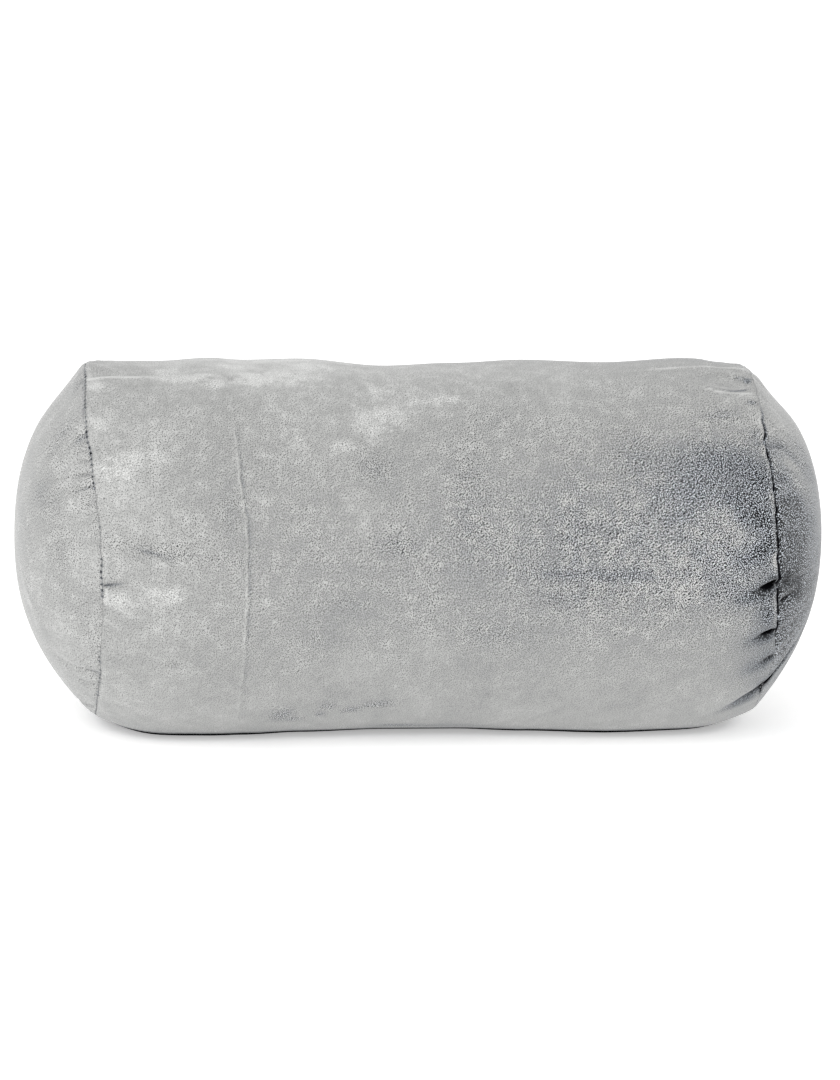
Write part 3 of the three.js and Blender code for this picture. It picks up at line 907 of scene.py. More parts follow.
@dataclass
class Surface:
    """A closed surface as rings of points, with its cloth coordinates and pile."""

    rings: list[Array] = field(default_factory=list)
    cloth: list[Array] = field(default_factory=list)
    pile: list[Array] = field(default_factory=list)

    def add(self, points: Array, cloth: Array, *pile: Number) -> None:
        """Adds one ring, with the values of its pile in the order of PILE."""
        self.rings.append(points)
        self.cloth.append(cloth)
        self.pile.append(np.stack([np.broadcast_to(part, len(points)) for part in pile], axis=1))

    def write(self, name: str, girth: float | None) -> Piece:
        """Makes a smooth mesh object of the rings.

        The UV map named cloth holds the cloth's own coordinates in metres, and the point attributes of PILE
        hold its pile.

        Args:
            name: The object's name.
            girth: The length at which the cloth's second coordinate closes on itself, or None for never.

        Returns:
            The object.
        """
        faces = ring_faces([len(ring) for ring in self.rings])
        piece = write_mesh(name, np.concatenate(self.rings), faces)
        mesh = piece.data
        places = np.concatenate(self.cloth) * MM
        corners = []
        for part in faces:
            spots = places[part]
            if girth:
                far = spots[..., 1].max(axis=1, keepdims=True) - spots[..., 1] > girth * MM / 2
                spots[..., 1] += far * girth * MM
            corners.append(spots.reshape(-1, 2))
        mesh.uv_layers.new(name="cloth").data.foreach_set("uv", np.concatenate(corners).ravel())
        for label, values in zip(PILE, np.concatenate(self.pile).T):
            attribute = mesh.attributes.new(label, "FLOAT", "POINT")
            attribute.data.foreach_set("value", np.ascontiguousarray(values, dtype=np.float32))
        return piece


def write_mesh(name: str, points: Array, faces: Sequence[Array]) -> Piece:
    """Makes an object of points in millimetres and arrays of faces, shaded smooth.

    Args:
        name: The object's name.
        points: The points, one in each row.
        faces: Arrays of faces with as many corners each as they have columns.

    Returns:
        The object, linked to the scene.
    """
    mesh = bpy.data.meshes.new(name)
    mesh.from_pydata((points * MM).tolist(), [], [face for part in faces for face in part.tolist()])
    mesh.polygons.foreach_set("use_smooth", np.ones(len(mesh.polygons), dtype=bool))
    piece = bpy.data.objects.new(name, mesh)
    bpy.context.scene.collection.objects.link(piece)
    return piece


def barrel_form(x: Array, angle: Array) -> Array:
    """The barrel's form with its seam grooves but no folds.

    The sections' ovals are drawn in to the end seams, and both edges sink into their grooves.

    Args:
        x: Places along the roll.
        angle: Angles round it.

    Returns:
        The points.
    """
    crest, foot, half_depth = section_sizes(x)
    pull = np.zeros(x.shape + (3,))
    for end in ENDS.values():
        distance = np.abs(x - end.along(angle))
        share = np.clip(1 - distance / DRAW_IN, 0.0, 1.0) ** DRAW_IN_POWER
        crest = lerp(crest, end.crest, share)
        foot = lerp(foot, end.foot, share)
        half_depth = lerp(half_depth, end.half_depth, share)
        pull += end.inwards(angle) * end.sunk(distance, angle)[..., None]
    return oval(x, crest, foot, half_depth, angle) + pull


def panel_form(end: EndSeam, distance: Array, angle: Array, drawn_in: Number, below: float) -> Array:
    """Points on an end panel.

    Args:
        end: The panel's seam.
        distance: Distances from the seam.
        angle: Angles round the roll.
        drawn_in: How far folds draw the cloth in.
        below: Depth under the outer face.

    Returns:
        The points.
    """
    share = 1 - distance / end.half_depth
    pull = (end.sunk(distance, angle) + drawn_in)[..., None] * end.inwards(angle)
    return end.crown(share, angle) + pull - end.crown_normal(share, angle) * below


def rested(points: Array) -> Array:
    """The points with none below the floor."""
    points[..., 2] = np.maximum(points[..., 2], 0.0)
    return points


@dataclass
class FilledCover:
    """The whole cover as one closed bag on a coarse grid, pressed out by its filling in a cloth simulation.

    Along the end seams the cloth is larger than the form by surplus, so that it gathers where the stitches
    hold it. loose_from and loose_to are the distances from a seam between which the surplus runs out. The
    gathers are the waves that calm_passes of smoothing take out and fine_passes leave, up to most high.
    """

    columns: int = 192
    seam_steps: tuple[float, ...] = (3, 6, 9, 12.5, 16.5, 21, 26, 32, 39)
    panel_steps: tuple[float, ...] = (*seam_steps, 47, 56, 66, 77)
    middle_rows: int = 36
    quality: int = 6
    pressure: float = 12.0
    surplus: float = 0.05
    loose_from: float = 8.0
    loose_to: float = 45.0
    bending: float = 1.0
    frames: int = 20
    most: float = 0.9
    fine_passes: int = 1
    calm_passes: int = 60

    def barrel_places(self) -> Array:
        """Places along X of the barrel's rows, from the left seam to the right one."""
        angle = ring_angles(self.columns)
        left, right = (ENDS[side].along(angle) for side in Side)
        rows = [left] + [left + step for step in self.seam_steps]
        rows += between(rows[-1], right - self.seam_steps[-1], self.middle_rows)
        rows += [right - step for step in reversed(self.seam_steps)] + [right]
        return np.array(rows)

    def forms(self) -> tuple[Array, dict[Side, Array]]:
        """The barrel's rows and each panel's rows, from the seam to its middle, without folds."""
        places = self.barrel_places()
        angle = np.broadcast_to(ring_angles(self.columns), places.shape)
        steps = np.array(self.panel_steps)[:, None]
        round_it = np.broadcast_to(ring_angles(self.columns), (len(steps), self.columns))
        panels = {side: panel_form(ENDS[side], steps, round_it, 0.0, 0.0) for side in Side}
        return rested(barrel_form(places, angle)), panels

    def settled(self, points: Array, faces: list[Array], distance: Array) -> Array:
        """Runs the cloth simulation.

        Args:
            points: The bag's points.
            faces: Its faces.
            distance: How far along the cloth each point is from the nearest end seam.

        Returns:
            The points when the cloth has settled.
        """
        bag = write_mesh("filled_cover", points, faces)
        bag.vertex_groups.new(name="held").add(np.flatnonzero(distance == 0).tolist(), 1.0, "REPLACE")
        taut = bag.vertex_groups.new(name="taut")
        share = np.round(smooth(distance, self.loose_from, self.loose_to), 2)
        for level in np.unique(share[share > 0]):
            taut.add(np.flatnonzero(share == level).tolist(), float(level), "REPLACE")
        cloth = bag.modifiers.new("filling", "CLOTH")
        rules = cloth.settings
        rules.quality = self.quality
        rules.bending_stiffness = self.bending
        rules.vertex_group_mass = "held"
        rules.use_pressure = True
        rules.uniform_pressure_force = self.pressure
        rules.vertex_group_shrink = "taut"
        rules.shrink_min = -self.surplus
        rules.effector_weights.gravity = 0.0
        cloth.collision_settings.use_collision = False
        cloth.point_cache.frame_end = self.frames
        scene = bpy.context.scene
        for number in range(1, self.frames + 1):
            scene.frame_set(number)
        shown = bag.evaluated_get(bpy.context.evaluated_depsgraph_get()).data
        moved = np.empty(len(points) * 3, dtype=np.float32)
        shown.vertices.foreach_get("co", moved)
        mesh = bag.data
        bpy.data.objects.remove(bag)
        bpy.data.meshes.remove(mesh)
        scene.frame_set(1)
        return moved.reshape(-1, 3).astype(float) / MM

    def gathered(self, moves: Array, ways: Array) -> Array:
        """The short waves of the cloth's moves, square to the form, kept under a limit."""
        height = (moves * ways).sum(axis=-1)
        short = softened(height, self.fine_passes) - softened(height, self.calm_passes)
        return np.clip(short, -self.most, self.most)

    def wrinkles(self) -> Wrinkles:
        places = self.barrel_places()
        barrel, panels = self.forms()
        flat = {side: np.zeros(panel.shape[:2]) for side, panel in panels.items()}
        rows = places.mean(axis=1)
        first, last = (ENDS[side].pole(0.0) for side in Side)
        left, right = panels[Side.LEFT][::-1], panels[Side.RIGHT]
        grid = np.concatenate([left, barrel, right])
        points = np.concatenate([first, grid.reshape(-1, 3), last])
        inner = np.minimum(places - places[0], places[-1] - places).mean(axis=1)
        row_distance = np.concatenate([self.panel_steps[::-1], inner, self.panel_steps])
        taut = [self.loose_to]
        distance = np.concatenate([taut, np.repeat(row_distance, self.columns), taut])
        counts = [1] + [self.columns] * grid.shape[0] + [1]
        settled = self.settled(points, ring_faces(counts), distance)
        moves = settled[1:-1].reshape(grid.shape) - grid
        angle = ring_angles(self.columns)
        on_barrel = moves[len(left) : len(left) + len(barrel)]
        steps = np.array(self.panel_steps)[:, None]
        for side, part in ((Side.LEFT, moves[: len(left)][::-1]), (Side.RIGHT, moves[-len(right) :])):
            ways = ENDS[side].crown_normal(1 - steps / ENDS[side].half_depth, angle[None, :])
            flat[side] = self.gathered(part, ways)
        ways = np.broadcast_to(outwards(angle), on_barrel.shape)
        return Wrinkles(rows, np.array(self.panel_steps), self.gathered(on_barrel, ways), flat)


@dataclass
class Wrinkles:
    """Heights of the gathers on a coarse grid of the barrel and of both panels."""

    barrel_rows: Array
    panel_rows: Array
    barrel: Array
    panels: dict[Side, Array]
    front_share: float = 0.4
    lifts: tuple[float, float] = (-55.0, -35.0)  # angles between which the cloth leaves the floor in front
    turns: tuple[float, float] = (60.0, 100.0)  # between which the front passes into the back
    lands: tuple[float, float] = (-145.0, -125.0)  # between which the back comes down to the floor
    near: tuple[float, float] = (0.0, 5.0)  # distances from a panel's seam between which gathers rise
    far: tuple[float, float] = (15.0, 45.0)  # between which they run out

    @staticmethod
    def _finer(grid: Array, rows: Array, places: Array, columns: int) -> Array:
        """A coarse grid with its rows at some places, read at other places and on more columns."""
        at = np.interp(places, rows, np.arange(len(rows)))
        return cubic(cubic(grid, at, 0, False), np.arange(columns) * grid.shape[1] / columns, 1, True)

    def on_barrel(self, places: Array, columns: int) -> Array:
        """Heights on a finer grid of the barrel, with rows at these mean places along X."""
        return self.calm(columns) * self._finer(self.barrel, self.barrel_rows, places, columns)

    def on_panel(self, side: Side, distances: Array, columns: int) -> Array:
        """Heights on a finer grid of a panel, with rows at these distances from its seam."""
        fade = smooth(distances, *self.near) * (1 - smooth(distances, *self.far))
        fine = self._finer(self.panels[side], self.panel_rows, distances, columns)
        return fade[:, None] * self.calm(columns) * fine

    def calm(self, columns: int) -> Array:
        """Share of the gathers kept round a ring: none where it rests, all at the back, some in front."""
        angle = turn(ring_angles(columns))
        behind = smooth(angle, *self.turns)
        front = smooth(angle, *self.lifts) * (1 - behind)
        back = behind + 1 - smooth(angle, *self.lands)
        return self.front_share * front + np.minimum(back, 1.0)


class Value:
    """A number in a node tree. Operators on it add Math nodes."""

    def __init__(self, shader: Shader, socket: Socket) -> None:
        """Wraps an output socket of a shader's tree."""
        self.shader = shader
        self.socket = socket

    def _math(self, operation: str, first: Value | float, second: Value | float) -> Value:
        """A Math node on two numbers."""
        return self.shader.value("ShaderNodeMath", {"operation": operation}, {0: first, 1: second})

    def __add__(self, other: Value | float) -> Value:
        """Sum."""
        return self._math("ADD", self, other)

    __radd__ = __add__

    def __sub__(self, other: Value | float) -> Value:
        """Difference."""
        return self._math("SUBTRACT", self, other)

    def __rsub__(self, other: float) -> Value:
        """Difference from a plain number."""
        return self._math("SUBTRACT", other, self)

    def __mul__(self, other: Value | float) -> Value:
        """Product."""
        return self._math("MULTIPLY", self, other)

    __rmul__ = __mul__

    def __pow__(self, exponent: float) -> Value:
        """Power."""
        return self._math("POWER", self, exponent)

    def within(self, low: float, high: float) -> Value:
        """An even step from 0 at low to 1 at high, level at both ends."""
        settings = {"interpolation_type": "SMOOTHSTEP"}
        inputs = {"Value": self, "From Min": low, "From Max": high}
        return self.shader.value("ShaderNodeMapRange", settings, inputs)


class Shader:
    """A material's node tree, with one way to add any node."""

    def __init__(self, name: str) -> None:
        """Starts an empty material."""
        self.material = bpy.data.materials.new(name)
        self.material.use_nodes = True
        self.tree = self.material.node_tree
        self.tree.nodes.clear()

    def node(self, kind: str, settings: dict | None = None, inputs: dict | None = None) -> bpy.types.Node:
        """Adds a node.

        Args:
            kind: The node's type.
            settings: Its properties, set first.
            inputs: Values, sockets or Value objects for its inputs, by name or number.

        Returns:
            The node.
        """
        made = self.tree.nodes.new(kind)
        for name, setting in (settings or {}).items():
            setattr(made, name, setting)
        for name, given in (inputs or {}).items():
            socket = given.socket if isinstance(given, Value) else given
            if isinstance(socket, Socket):
                self.tree.links.new(socket, made.inputs[name])
            else:
                made.inputs[name].default_value = socket
        return made

    def value(self, kind: str, settings: dict | None = None, inputs: dict | None = None) -> Value:
        """Adds a node and returns its first output as a number."""
        return Value(self, self.node(kind, settings, inputs).outputs[0])

    def attribute(self, name: str) -> Value:
        """A number that the piece keeps at its points."""
        found = self.node("ShaderNodeAttribute", {"attribute_name": name})
        return Value(self, found.outputs["Fac"])

    def noise(self, place: Socket, size: float, detail: float, roughness: float = 0.5) -> bpy.types.Node:
        """Noise whose lumps are about size millimetres across."""
        inputs = {"Vector": place, "Scale": 1 / (size * MM), "Detail": detail, "Roughness": roughness}
        return self.node("ShaderNodeTexNoise", {"noise_dimensions": "2D"}, inputs)

    def lumps(self, place: Socket, size: float, detail: float, roughness: float = 0.5) -> Value:
        """The strength of that noise, from about 0 to 1."""
        return Value(self, self.noise(place, size, detail, roughness).outputs["Fac"])

    def ramp(self, given: Value, stops: Sequence[tuple[float, Colour]]) -> Socket:
        """The colour that a number has on a ramp.

        Args:
            given: The number.
            stops: The ramp's positions and their colours.

        Returns:
            The colour's socket.
        """
        made = self.node("ShaderNodeValToRGB", None, {"Fac": given})
        elements = made.color_ramp.elements
        while len(elements) < len(stops):
            elements.new(1.0)
        for element, (position, colour) in zip(elements, stops):
            element.position = position
            element.color = (*colour, 1.0)
        return made.outputs["Color"]

    def principled(self, inputs: dict) -> bpy.types.Node:
        """Adds the surface shader that most finishes use."""
        return self.node("ShaderNodeBsdfPrincipled", None, inputs)

    def cloth_place(self) -> Socket:
        """The cloth's own coordinates in metres."""
        return self.node("ShaderNodeUVMap", {"uv_map": "cloth"}).outputs["UV"]

    def output(self, surface: bpy.types.Node) -> Material:
        """Ends the tree with a surface shader."""
        self.node("ShaderNodeOutputMaterial", None, {"Surface": surface.outputs[0]})
        return self.material


def linear(tone: float) -> float:
    """The light of a display tone, both from 0 to 1."""
    return tone / 12.92 if tone <= 0.04045 else ((tone + 0.055) / 1.055) ** 2.4


@dataclass(frozen=True)
class VelvetFinish:
    """Short velvet. Brushed pile is light and smooth, standing pile is darker, bluish and grainy.

    The piece's tone says how light the pile looks, with its painted light and shade, its stand how much
    grain it has and its brushed where it lies flat with bright tips. base is the tone of the plain cloth.
    Patches that differ get ragged edges.
    """

    name: str
    base: float
    gain: float = 0.73  # reflected light for the light that a tone stands for
    grain_long: float = 0.74
    grain_wide: float = 0.37
    grain_slant: float = -48.0
    bend_size: float = 2.4  # of the noise that bends the grain
    bend: float = 1.2  # how far it does
    detail: float = 6.0  # of clouds and flecks
    cloud_size: float = 30.0
    cloud_rough: float = 0.62
    cloud_tone: float = 0.11  # how much lighter or darker clouds are
    fleck_size: float = 7.0
    fleck_rough: float = 0.68
    tip: float = 0.70  # light of the pile's tips where it stands up
    gap: float = 0.03  # light of the gaps between them
    cool: Colour = (0.94, 1.0, 1.08)  # tint of dark pile
    warm: Colour = (0.999, 1.004, 0.986)  # tint of light pile
    warm_from: tuple[float, float] = (0.45, 0.72)  # tones between which the first passes into the second
    painted_shadow: tuple[float, float] = (0.02, 0.3)  # tones between which painted black shadow passes into pile
    # colour of the painted black shadow in seams, pockets and at the floor
    shadow_black: Colour = (0.004, 0.004, 0.005)
    curve: float = 2.2  # light is about this power of a tone
    frost: float = 0.05  # how much lighter brushed patches are
    sparkle: float = 0.13  # how much lighter still the tips in them are

    def colours(self, shader: Shader, shown: Value, tint: Colour) -> Socket:
        """The colours of tones from 0 to 1 under one tint."""
        tones = (0.0, 0.25, 0.4, 0.5, 0.6, 0.7, 0.8, 0.9, 1.0)
        lights = [[min(self.gain * linear(tone) * part, 0.9) for part in tint] for tone in tones]
        return shader.ramp(shown, list(zip(tones, lights)))

    def grain(self, shader: Shader, place: Socket) -> Value:
        """Short slanting streaks of pile, bent by a coarser noise, from about -0.3 to 0.3."""
        bend = shader.noise(place, self.bend_size, 1.0).outputs["Color"]
        inputs = {0: bend, 1: (self.bend * MM,) * 3, 2: place}
        bent = shader.node("ShaderNodeVectorMath", {"operation": "MULTIPLY_ADD"}, inputs)
        slanted = shader.node(
            "ShaderNodeMapping",
            {"vector_type": "TEXTURE"},
            {
                "Vector": bent.outputs[0],
                "Rotation": (0.0, 0.0, np.radians(self.grain_slant)),
                "Scale": (self.grain_long, self.grain_wide, 1.0),
            },
        )
        return shader.lumps(slanted.outputs[0], 1.0, 0.0) - 0.5

    def material(self) -> Material:
        """Builds the material: light tips over dark gaps, as the tone asks for, and painted black shadow
        where the tone is lowest.
        """
        shader = Shader(self.name)
        place = shader.cloth_place()
        tone, stand, brushed = (shader.attribute(name) for name in PILE)
        cloud = shader.lumps(place, self.cloud_size, self.detail, self.cloud_rough) - 0.5
        fleck = shader.lumps(place, self.fleck_size, self.detail, self.fleck_rough) - 0.5
        grain = self.grain(shader, place)
        # clouds and flecks break up the edges of what the piece says
        upright = (stand + cloud * 1.2 + fleck * 1.5).within(0.0, 1.6)
        lighter = tone - self.base
        patch = lighter * (1.0 + fleck * (1.8 - 4.0 * lighter) + cloud * 0.8)
        frosted = (brushed * (1.0 + fleck * 2.5)).within(0.2, 0.9)
        mottled = cloud * self.cloud_tone + fleck * (0.1 + 0.4 * upright)
        mean = self.base + patch + mottled + frosted * self.frost
        # the share of tips keeps the mean light, whatever the grain's contrast is
        light = mean**self.curve
        share = (light - self.gap) * (1 / (self.tip - self.gap))
        tips = (grain - (0.5 - share) * 0.4).within(-0.05, 0.05)
        pile = self.gap + (self.tip - self.gap) * tips
        grainy = (light + (pile - light) * (0.3 + 1.1 * upright + 0.1 * frosted)) ** (1 / self.curve)
        shown = grainy + frosted * grain.within(0.04, 0.2) * self.sparkle
        colour = shader.node(
            "ShaderNodeMix",
            {"data_type": "RGBA"},
            {
                "Factor": mean.within(*self.warm_from),
                6: self.colours(shader, shown, self.cool),
                7: self.colours(shader, shown, self.warm),
            },
        )
        height = grain * (0.25 + 0.75 * upright) + fleck * 0.5
        inputs = {"Strength": 0.3, "Distance": 0.3 * MM, "Height": height}
        bump = shader.node("ShaderNodeBump", None, inputs)
        surface = shader.principled(
            {
                "Base Color": colour.outputs[2],
                "Roughness": 0.88 + grain * 0.15,
                "Normal": bump.outputs["Normal"],
                "Specular IOR Level": 0.2,
                "Sheen Weight": 0.4,
                "Sheen Roughness": 0.45,
            }
        )
        # painted shadow: a black diffuse shader without the pile's sheen, where the tone is lowest
        painted_shadow = shader.node("ShaderNodeBsdfDiffuse", None, {"Color": (*self.shadow_black, 1.0)})
        inputs = {"Fac": tone.within(*self.painted_shadow), 1: painted_shadow.outputs[0], 2: surface.outputs[0]}
        return shader.output(shader.node("ShaderNodeMixShader", None, inputs))


@dataclass(frozen=True)
class ThreadFinish:
    """Grey sewing thread with a fine mottle."""

    name: str = "sewing_thread"
    # the thread's grey, made dark so that visible stitches also paint the shade in the stitch holes
    colour: Colour = (0.16, 0.165, 0.17)
    paler: float = 1.7  # how much lighter its light spots are
    mottle_size: float = 0.5

    def material(self) -> Material:
        """Builds the material."""
        shader = Shader(self.name)
        place = shader.node("ShaderNodeTexCoord").outputs["Object"]
        mottled = shader.lumps(place, self.mottle_size, 2.0)
        pale = tuple(self.paler * part for part in self.colour)
        colour = shader.ramp(mottled, [(0.3, self.colour), (0.7, pale)])
        bump = shader.node("ShaderNodeBump", None, {"Distance": 0.1 * MM, "Height": mottled})
        inputs = {"Base Color": colour, "Roughness": 0.6 + 0.2 * mottled, "Normal": bump.outputs["Normal"]}
        return shader.output(shader.principled(inputs))


@dataclass(frozen=True)
class FloorFinish:
    """Matt white paper, lit a little from below like a light table."""

    name: str = "white_paper"
    light: float = 0.93
    mottle: float = 0.01  # how much darker it is in places
    mottle_size: float = 40.0
    glow: float = 0.38

    def material(self) -> Material:
        """Builds the material."""
        shader = Shader(self.name)
        place = shader.node("ShaderNodeTexCoord").outputs["Object"]
        mottled = shader.lumps(place, self.mottle_size, 3.0)
        stops = [(0.3, (self.light - self.mottle,) * 3), (0.7, (self.light,) * 3)]
        surface = shader.principled(
            {
                "Base Color": shader.ramp(mottled, stops),
                "Roughness": 1.0,
                "Specular IOR Level": 0.0,
                "Emission Color": (1.0, 1.0, 1.0, 1.0),
                "Emission Strength": self.glow,
            }
        )
        return shader.output(surface)


@dataclass
class BarrelCover:
    """The barrel's velvet, drawn round its filling and closed under both end panels."""

    columns: int = COLUMNS
    seam_steps: tuple[float, ...] = (*SEAM_STEPS, 31.5, 36, 41)
    fold_steps: tuple[float, ...] = (-8, -5.5, -4, -3, -2.2, -1.6, -1.1, -0.7, -0.35, 0)
    left_rows: int = 5
    middle_rows: int = 56
    under_steps: tuple[tuple[float, int], ...] = ((5.5, COLUMNS), (10, 352), (24, 176), (44, 88), (66, 44))
    under: float = PANEL + 3.5

    def places(self) -> Array:
        """Places along X of all rows, from left seam to right seam, closest at the seams and the fold."""
        angle = ring_angles(self.columns)
        left, right = (ENDS[side].along(angle) for side in Side)
        fold = FOLD.along(angle)
        across_fold = [*self.fold_steps, *(-step for step in reversed(self.fold_steps[:-1]))]
        rows = [left + step for step in self.seam_steps]
        rows += between(rows[-1], fold + across_fold[0], self.left_rows)
        rows += [fold + step for step in across_fold]
        rows += between(rows[-1], right - self.seam_steps[-1], self.middle_rows)
        rows += [right - step for step in reversed(self.seam_steps)]
        return np.array(rows)

    def relief(self, x: Array, angle: Array) -> tuple[Array, Array]:
        """Height of all folds on the barrel.

        Args:
            x: Places along the roll.
            angle: Angles round it.

        Returns:
            The height, and the depth of the pockets alone.
        """
        height = FOLD.ridge(x, angle) + sum(crease.height * crease.weight(x, angle) for crease in CREASES)
        height -= sum(dent.sunk(x, angle) for dent in DENTS)
        pockets = np.zeros_like(height)
        for side, end in ENDS.items():
            trough, pocket = pucker_depths(side, Cloth.BARREL, angle, np.abs(x - end.along(angle)))
            height -= trough + pocket
            pockets += pocket
        return height, pockets

    def nap(self, x: Array, angle: Array, pockets: Array, above: Array) -> tuple[Array, Array, Array]:
        """The pile: its patches added up, with painted highlights and painted shade along the fold, the
        creases and the seams.

        Painted shade darkens it in the pockets and where it meets the floor.

        Args:
            x: Places along the roll.
            angle: Angles round it.
            pockets: Depth of the puckers' pockets there.
            above: Height above the floor.

        Returns:
            Its values in the order of PILE.
        """
        tone, stand, brushed = pile_of(BARREL_NAP, BARREL_PILE, x, angle, MEAN_RADIUS)
        # painted highlight and shade along the pressed fold
        tone += FOLD.tone(x, angle)
        # painted highlights and shade along the creases
        tone += sum(crease.tone * crease.weight(x, angle) for crease in CREASES)
        for end in ENDS.values():
            distance = np.abs(x - end.along(angle))
            # painted highlight beside the seam
            tone += SEAM_HIGHLIGHT * end.line_shade(angle) * bell(distance - LIGHT_AT, LIGHT_WIDTH)
            # painted shade along the seam line
            tone -= SEAM_SHADE * end.shadow(distance, angle)
        # painted contact shadow near the floor
        tone -= FLOOR_SHADE * (1 - smooth(above, FLOOR_NEAR, FLOOR_FAR))
        # painted shade in the puckers' pockets
        return tone - pocket_shade(pockets), stand, brushed

    def under_ring(self, end: EndSeam, distance: float, columns: int) -> tuple[Array, Array]:
        """One ring of the body under an end panel, with its cloth coordinates."""
        angle = ring_angles(columns)
        points = panel_form(end, np.full(columns, distance), angle, 0.0, self.under)
        reach = end.side.value * (HALF_BARREL + distance)
        return points, np.stack([np.full(columns, reach), girth_to(angle)], axis=1)

    def close_end(self, surface: Surface, end: EndSeam) -> None:
        """Adds the rings under one panel, in the order in which they follow along X."""
        angle = ring_angles(self.columns)
        edge = np.stack([end.along(angle), girth_to(angle)], axis=1)
        parts = [(end.pole(self.under), np.zeros((1, 2)))]
        parts += [self.under_ring(end, *step) for step in reversed(self.under_steps)]
        parts += [(end.groove_point(angle, PANEL + 2 * GAP, GAP), edge)]
        parts += [(end.groove_point(angle, -GAP / 2, GAP), edge)]
        # painted shade on the rim in the groove, and on the hidden rings under the panel
        tone = BARREL_TONE - RIM_SHADE * end.shadow(np.zeros(1), angle)
        for points, cloth in parts if end.side is Side.LEFT else reversed(parts):
            shown = tone if len(points) == self.columns else BARREL_TONE - UNDER_SHADE
            surface.add(points, cloth, shown, 0.0, 0.0)

    def build(self, wrinkles: Wrinkles) -> Piece:
        """Builds the barrel: its form with the gathers and every fold, resting on the floor."""
        x = self.places()
        angle = np.broadcast_to(ring_angles(self.columns), x.shape)
        height, pockets = self.relief(x, angle)
        height = height + wrinkles.on_barrel(x.mean(axis=1), self.columns)
        points = rested(barrel_form(x, angle) + outwards(angle) * height[..., None])
        pile = np.stack(self.nap(x, angle, pockets, points[..., 2]), axis=1)
        cloth = np.stack([x, girth_to(angle)], axis=-1)
        surface = Surface()
        self.close_end(surface, ENDS[Side.LEFT])
        for row in range(len(x)):
            surface.add(points[row], cloth[row], *pile[row])
        self.close_end(surface, ENDS[Side.RIGHT])
        return surface.write("barrel_cover", 2 * np.pi * MEAN_RADIUS)

    def dress(self, piece: Piece, finish: Material) -> None:
        """Gives the barrel its velvet and its place in the part."""
        piece.data.materials.append(finish)
        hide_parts("pillow_body")
        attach(piece, BODY)


@dataclass
class EndPanel:
    """The round velvet panel of one end: one layer of cloth, swollen by the filling, turned in at its seam.

    steps are the numbers of points in its rings, each with the distances of those rings from the seam.
    """

    side: Side
    patches: tuple[NapAndShadingPatch, ...]
    steps: tuple[tuple[int, tuple[float, ...]], ...] = (
        (COLUMNS, SEAM_STEPS),
        (352, (31, 34.5, 38, 42, 46, 50, 54)),
        (176, (58, 62, 66, 70)),
        (88, (74, 77.5, 81)),
        (44, (84, 86.3)),
    )
    flat_diameter: float = 190.0

    @property
    def end(self) -> EndSeam:
        """The panel's seam."""
        return ENDS[self.side]

    def nap(self, distance: Array, angle: Array, pockets: Array) -> tuple[Array, Array, Array]:
        """The pile on one ring: its patches added up, with painted shade in the pockets and at the
        stitching.

        Args:
            distance: Distances from the seam.
            angle: Angles round the roll.
            pockets: Depth of the puckers' pockets there.

        Returns:
            Its values in the order of PILE.
        """
        radius = np.maximum(self.end.half_depth - distance, 1.0)
        tone, stand, brushed = pile_of(self.patches, PANEL_PILE, distance, angle, radius)
        # painted shade along the seam line
        tone -= SEAM_SHADE * self.end.shadow(distance, angle)
        # painted shade in the puckers' pockets
        return tone - pocket_shade(pockets), stand, brushed

    @staticmethod
    def on_cloth(reach: float, angle: Array) -> Array:
        """Cloth coordinates at one reach from the panel's middle."""
        return reach * np.stack([np.cos(np.radians(angle)), np.sin(np.radians(angle))], axis=1)

    def ring(self, columns: int, distance: float, heights: Array, below: float) -> tuple[Array, ...]:
        """One ring of the panel.

        Args:
            columns: Number of points.
            distance: Distance from the seam.
            heights: Gathers on the full number of columns.
            below: Depth under the outer face.

        Returns:
            Points, cloth coordinates and the values of the pile.
        """
        angle = ring_angles(columns)
        away = np.full(columns, distance)
        trough, pocket = pucker_depths(self.side, Cloth.PANEL, angle, away)
        drawn_in = trough + pocket - heights[:: len(heights) // columns]
        points = rested(panel_form(self.end, away, angle, drawn_in, below))
        cloth = self.on_cloth(self.end.half_depth - distance, angle)
        return points, cloth, *self.nap(away, angle, pocket)

    def face(self, below: float, wrinkles: Wrinkles) -> list[tuple[Array, ...]]:
        """The rings of one face of the cloth, from its middle to the stitching.

        Args:
            below: Depth of the face under the outer one.
            wrinkles: The gathers.

        Returns:
            Points, cloth coordinates and the values of the pile, ring by ring.
        """
        pairs = [(columns, distance) for columns, distances in self.steps for distance in distances]
        heights = wrinkles.on_panel(self.side, np.array([distance for _, distance in pairs]), COLUMNS)
        rings = [(self.end.pole(below), np.zeros((1, 2)), *PANEL_PILE)]
        rings += [self.ring(*pair, height, below) for pair, height in zip(pairs[::-1], heights[::-1])]
        angle = ring_angles(COLUMNS)
        edge = self.end.groove_point(angle, GAP / 2 + below, 0.0)
        # painted shade along the panel's rim at the stitching
        tone = PANEL_TONE - RIM_SHADE * self.end.shadow(np.zeros(1), angle)
        return rings + [(edge, self.on_cloth(self.end.half_depth, angle), tone, 0.0, 0.0)]

    def build(self, wrinkles: Wrinkles) -> Piece:
        """Builds the panel as a closed sheet: its outer face and, PANEL below it, its inner one."""
        outer, inner = self.face(0.0, wrinkles), self.face(PANEL, wrinkles)
        rings = outer + inner[::-1] if self.side is Side.LEFT else inner + outer[::-1]
        surface = Surface()
        for ring in rings:
            surface.add(*ring)
        return surface.write(f"end_cover_{self.side.name.lower()}", None)

    def dress(self, piece: Piece, finish: Material) -> None:
        """Gives the panel its velvet and its place in the part."""
        piece.data.materials.append(finish)
        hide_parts(f"end_panel_{self.side.name.lower()}")
        wide = self.flat_diameter * MM
        np.pi * wide**2 / 4
        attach(piece, BODY)


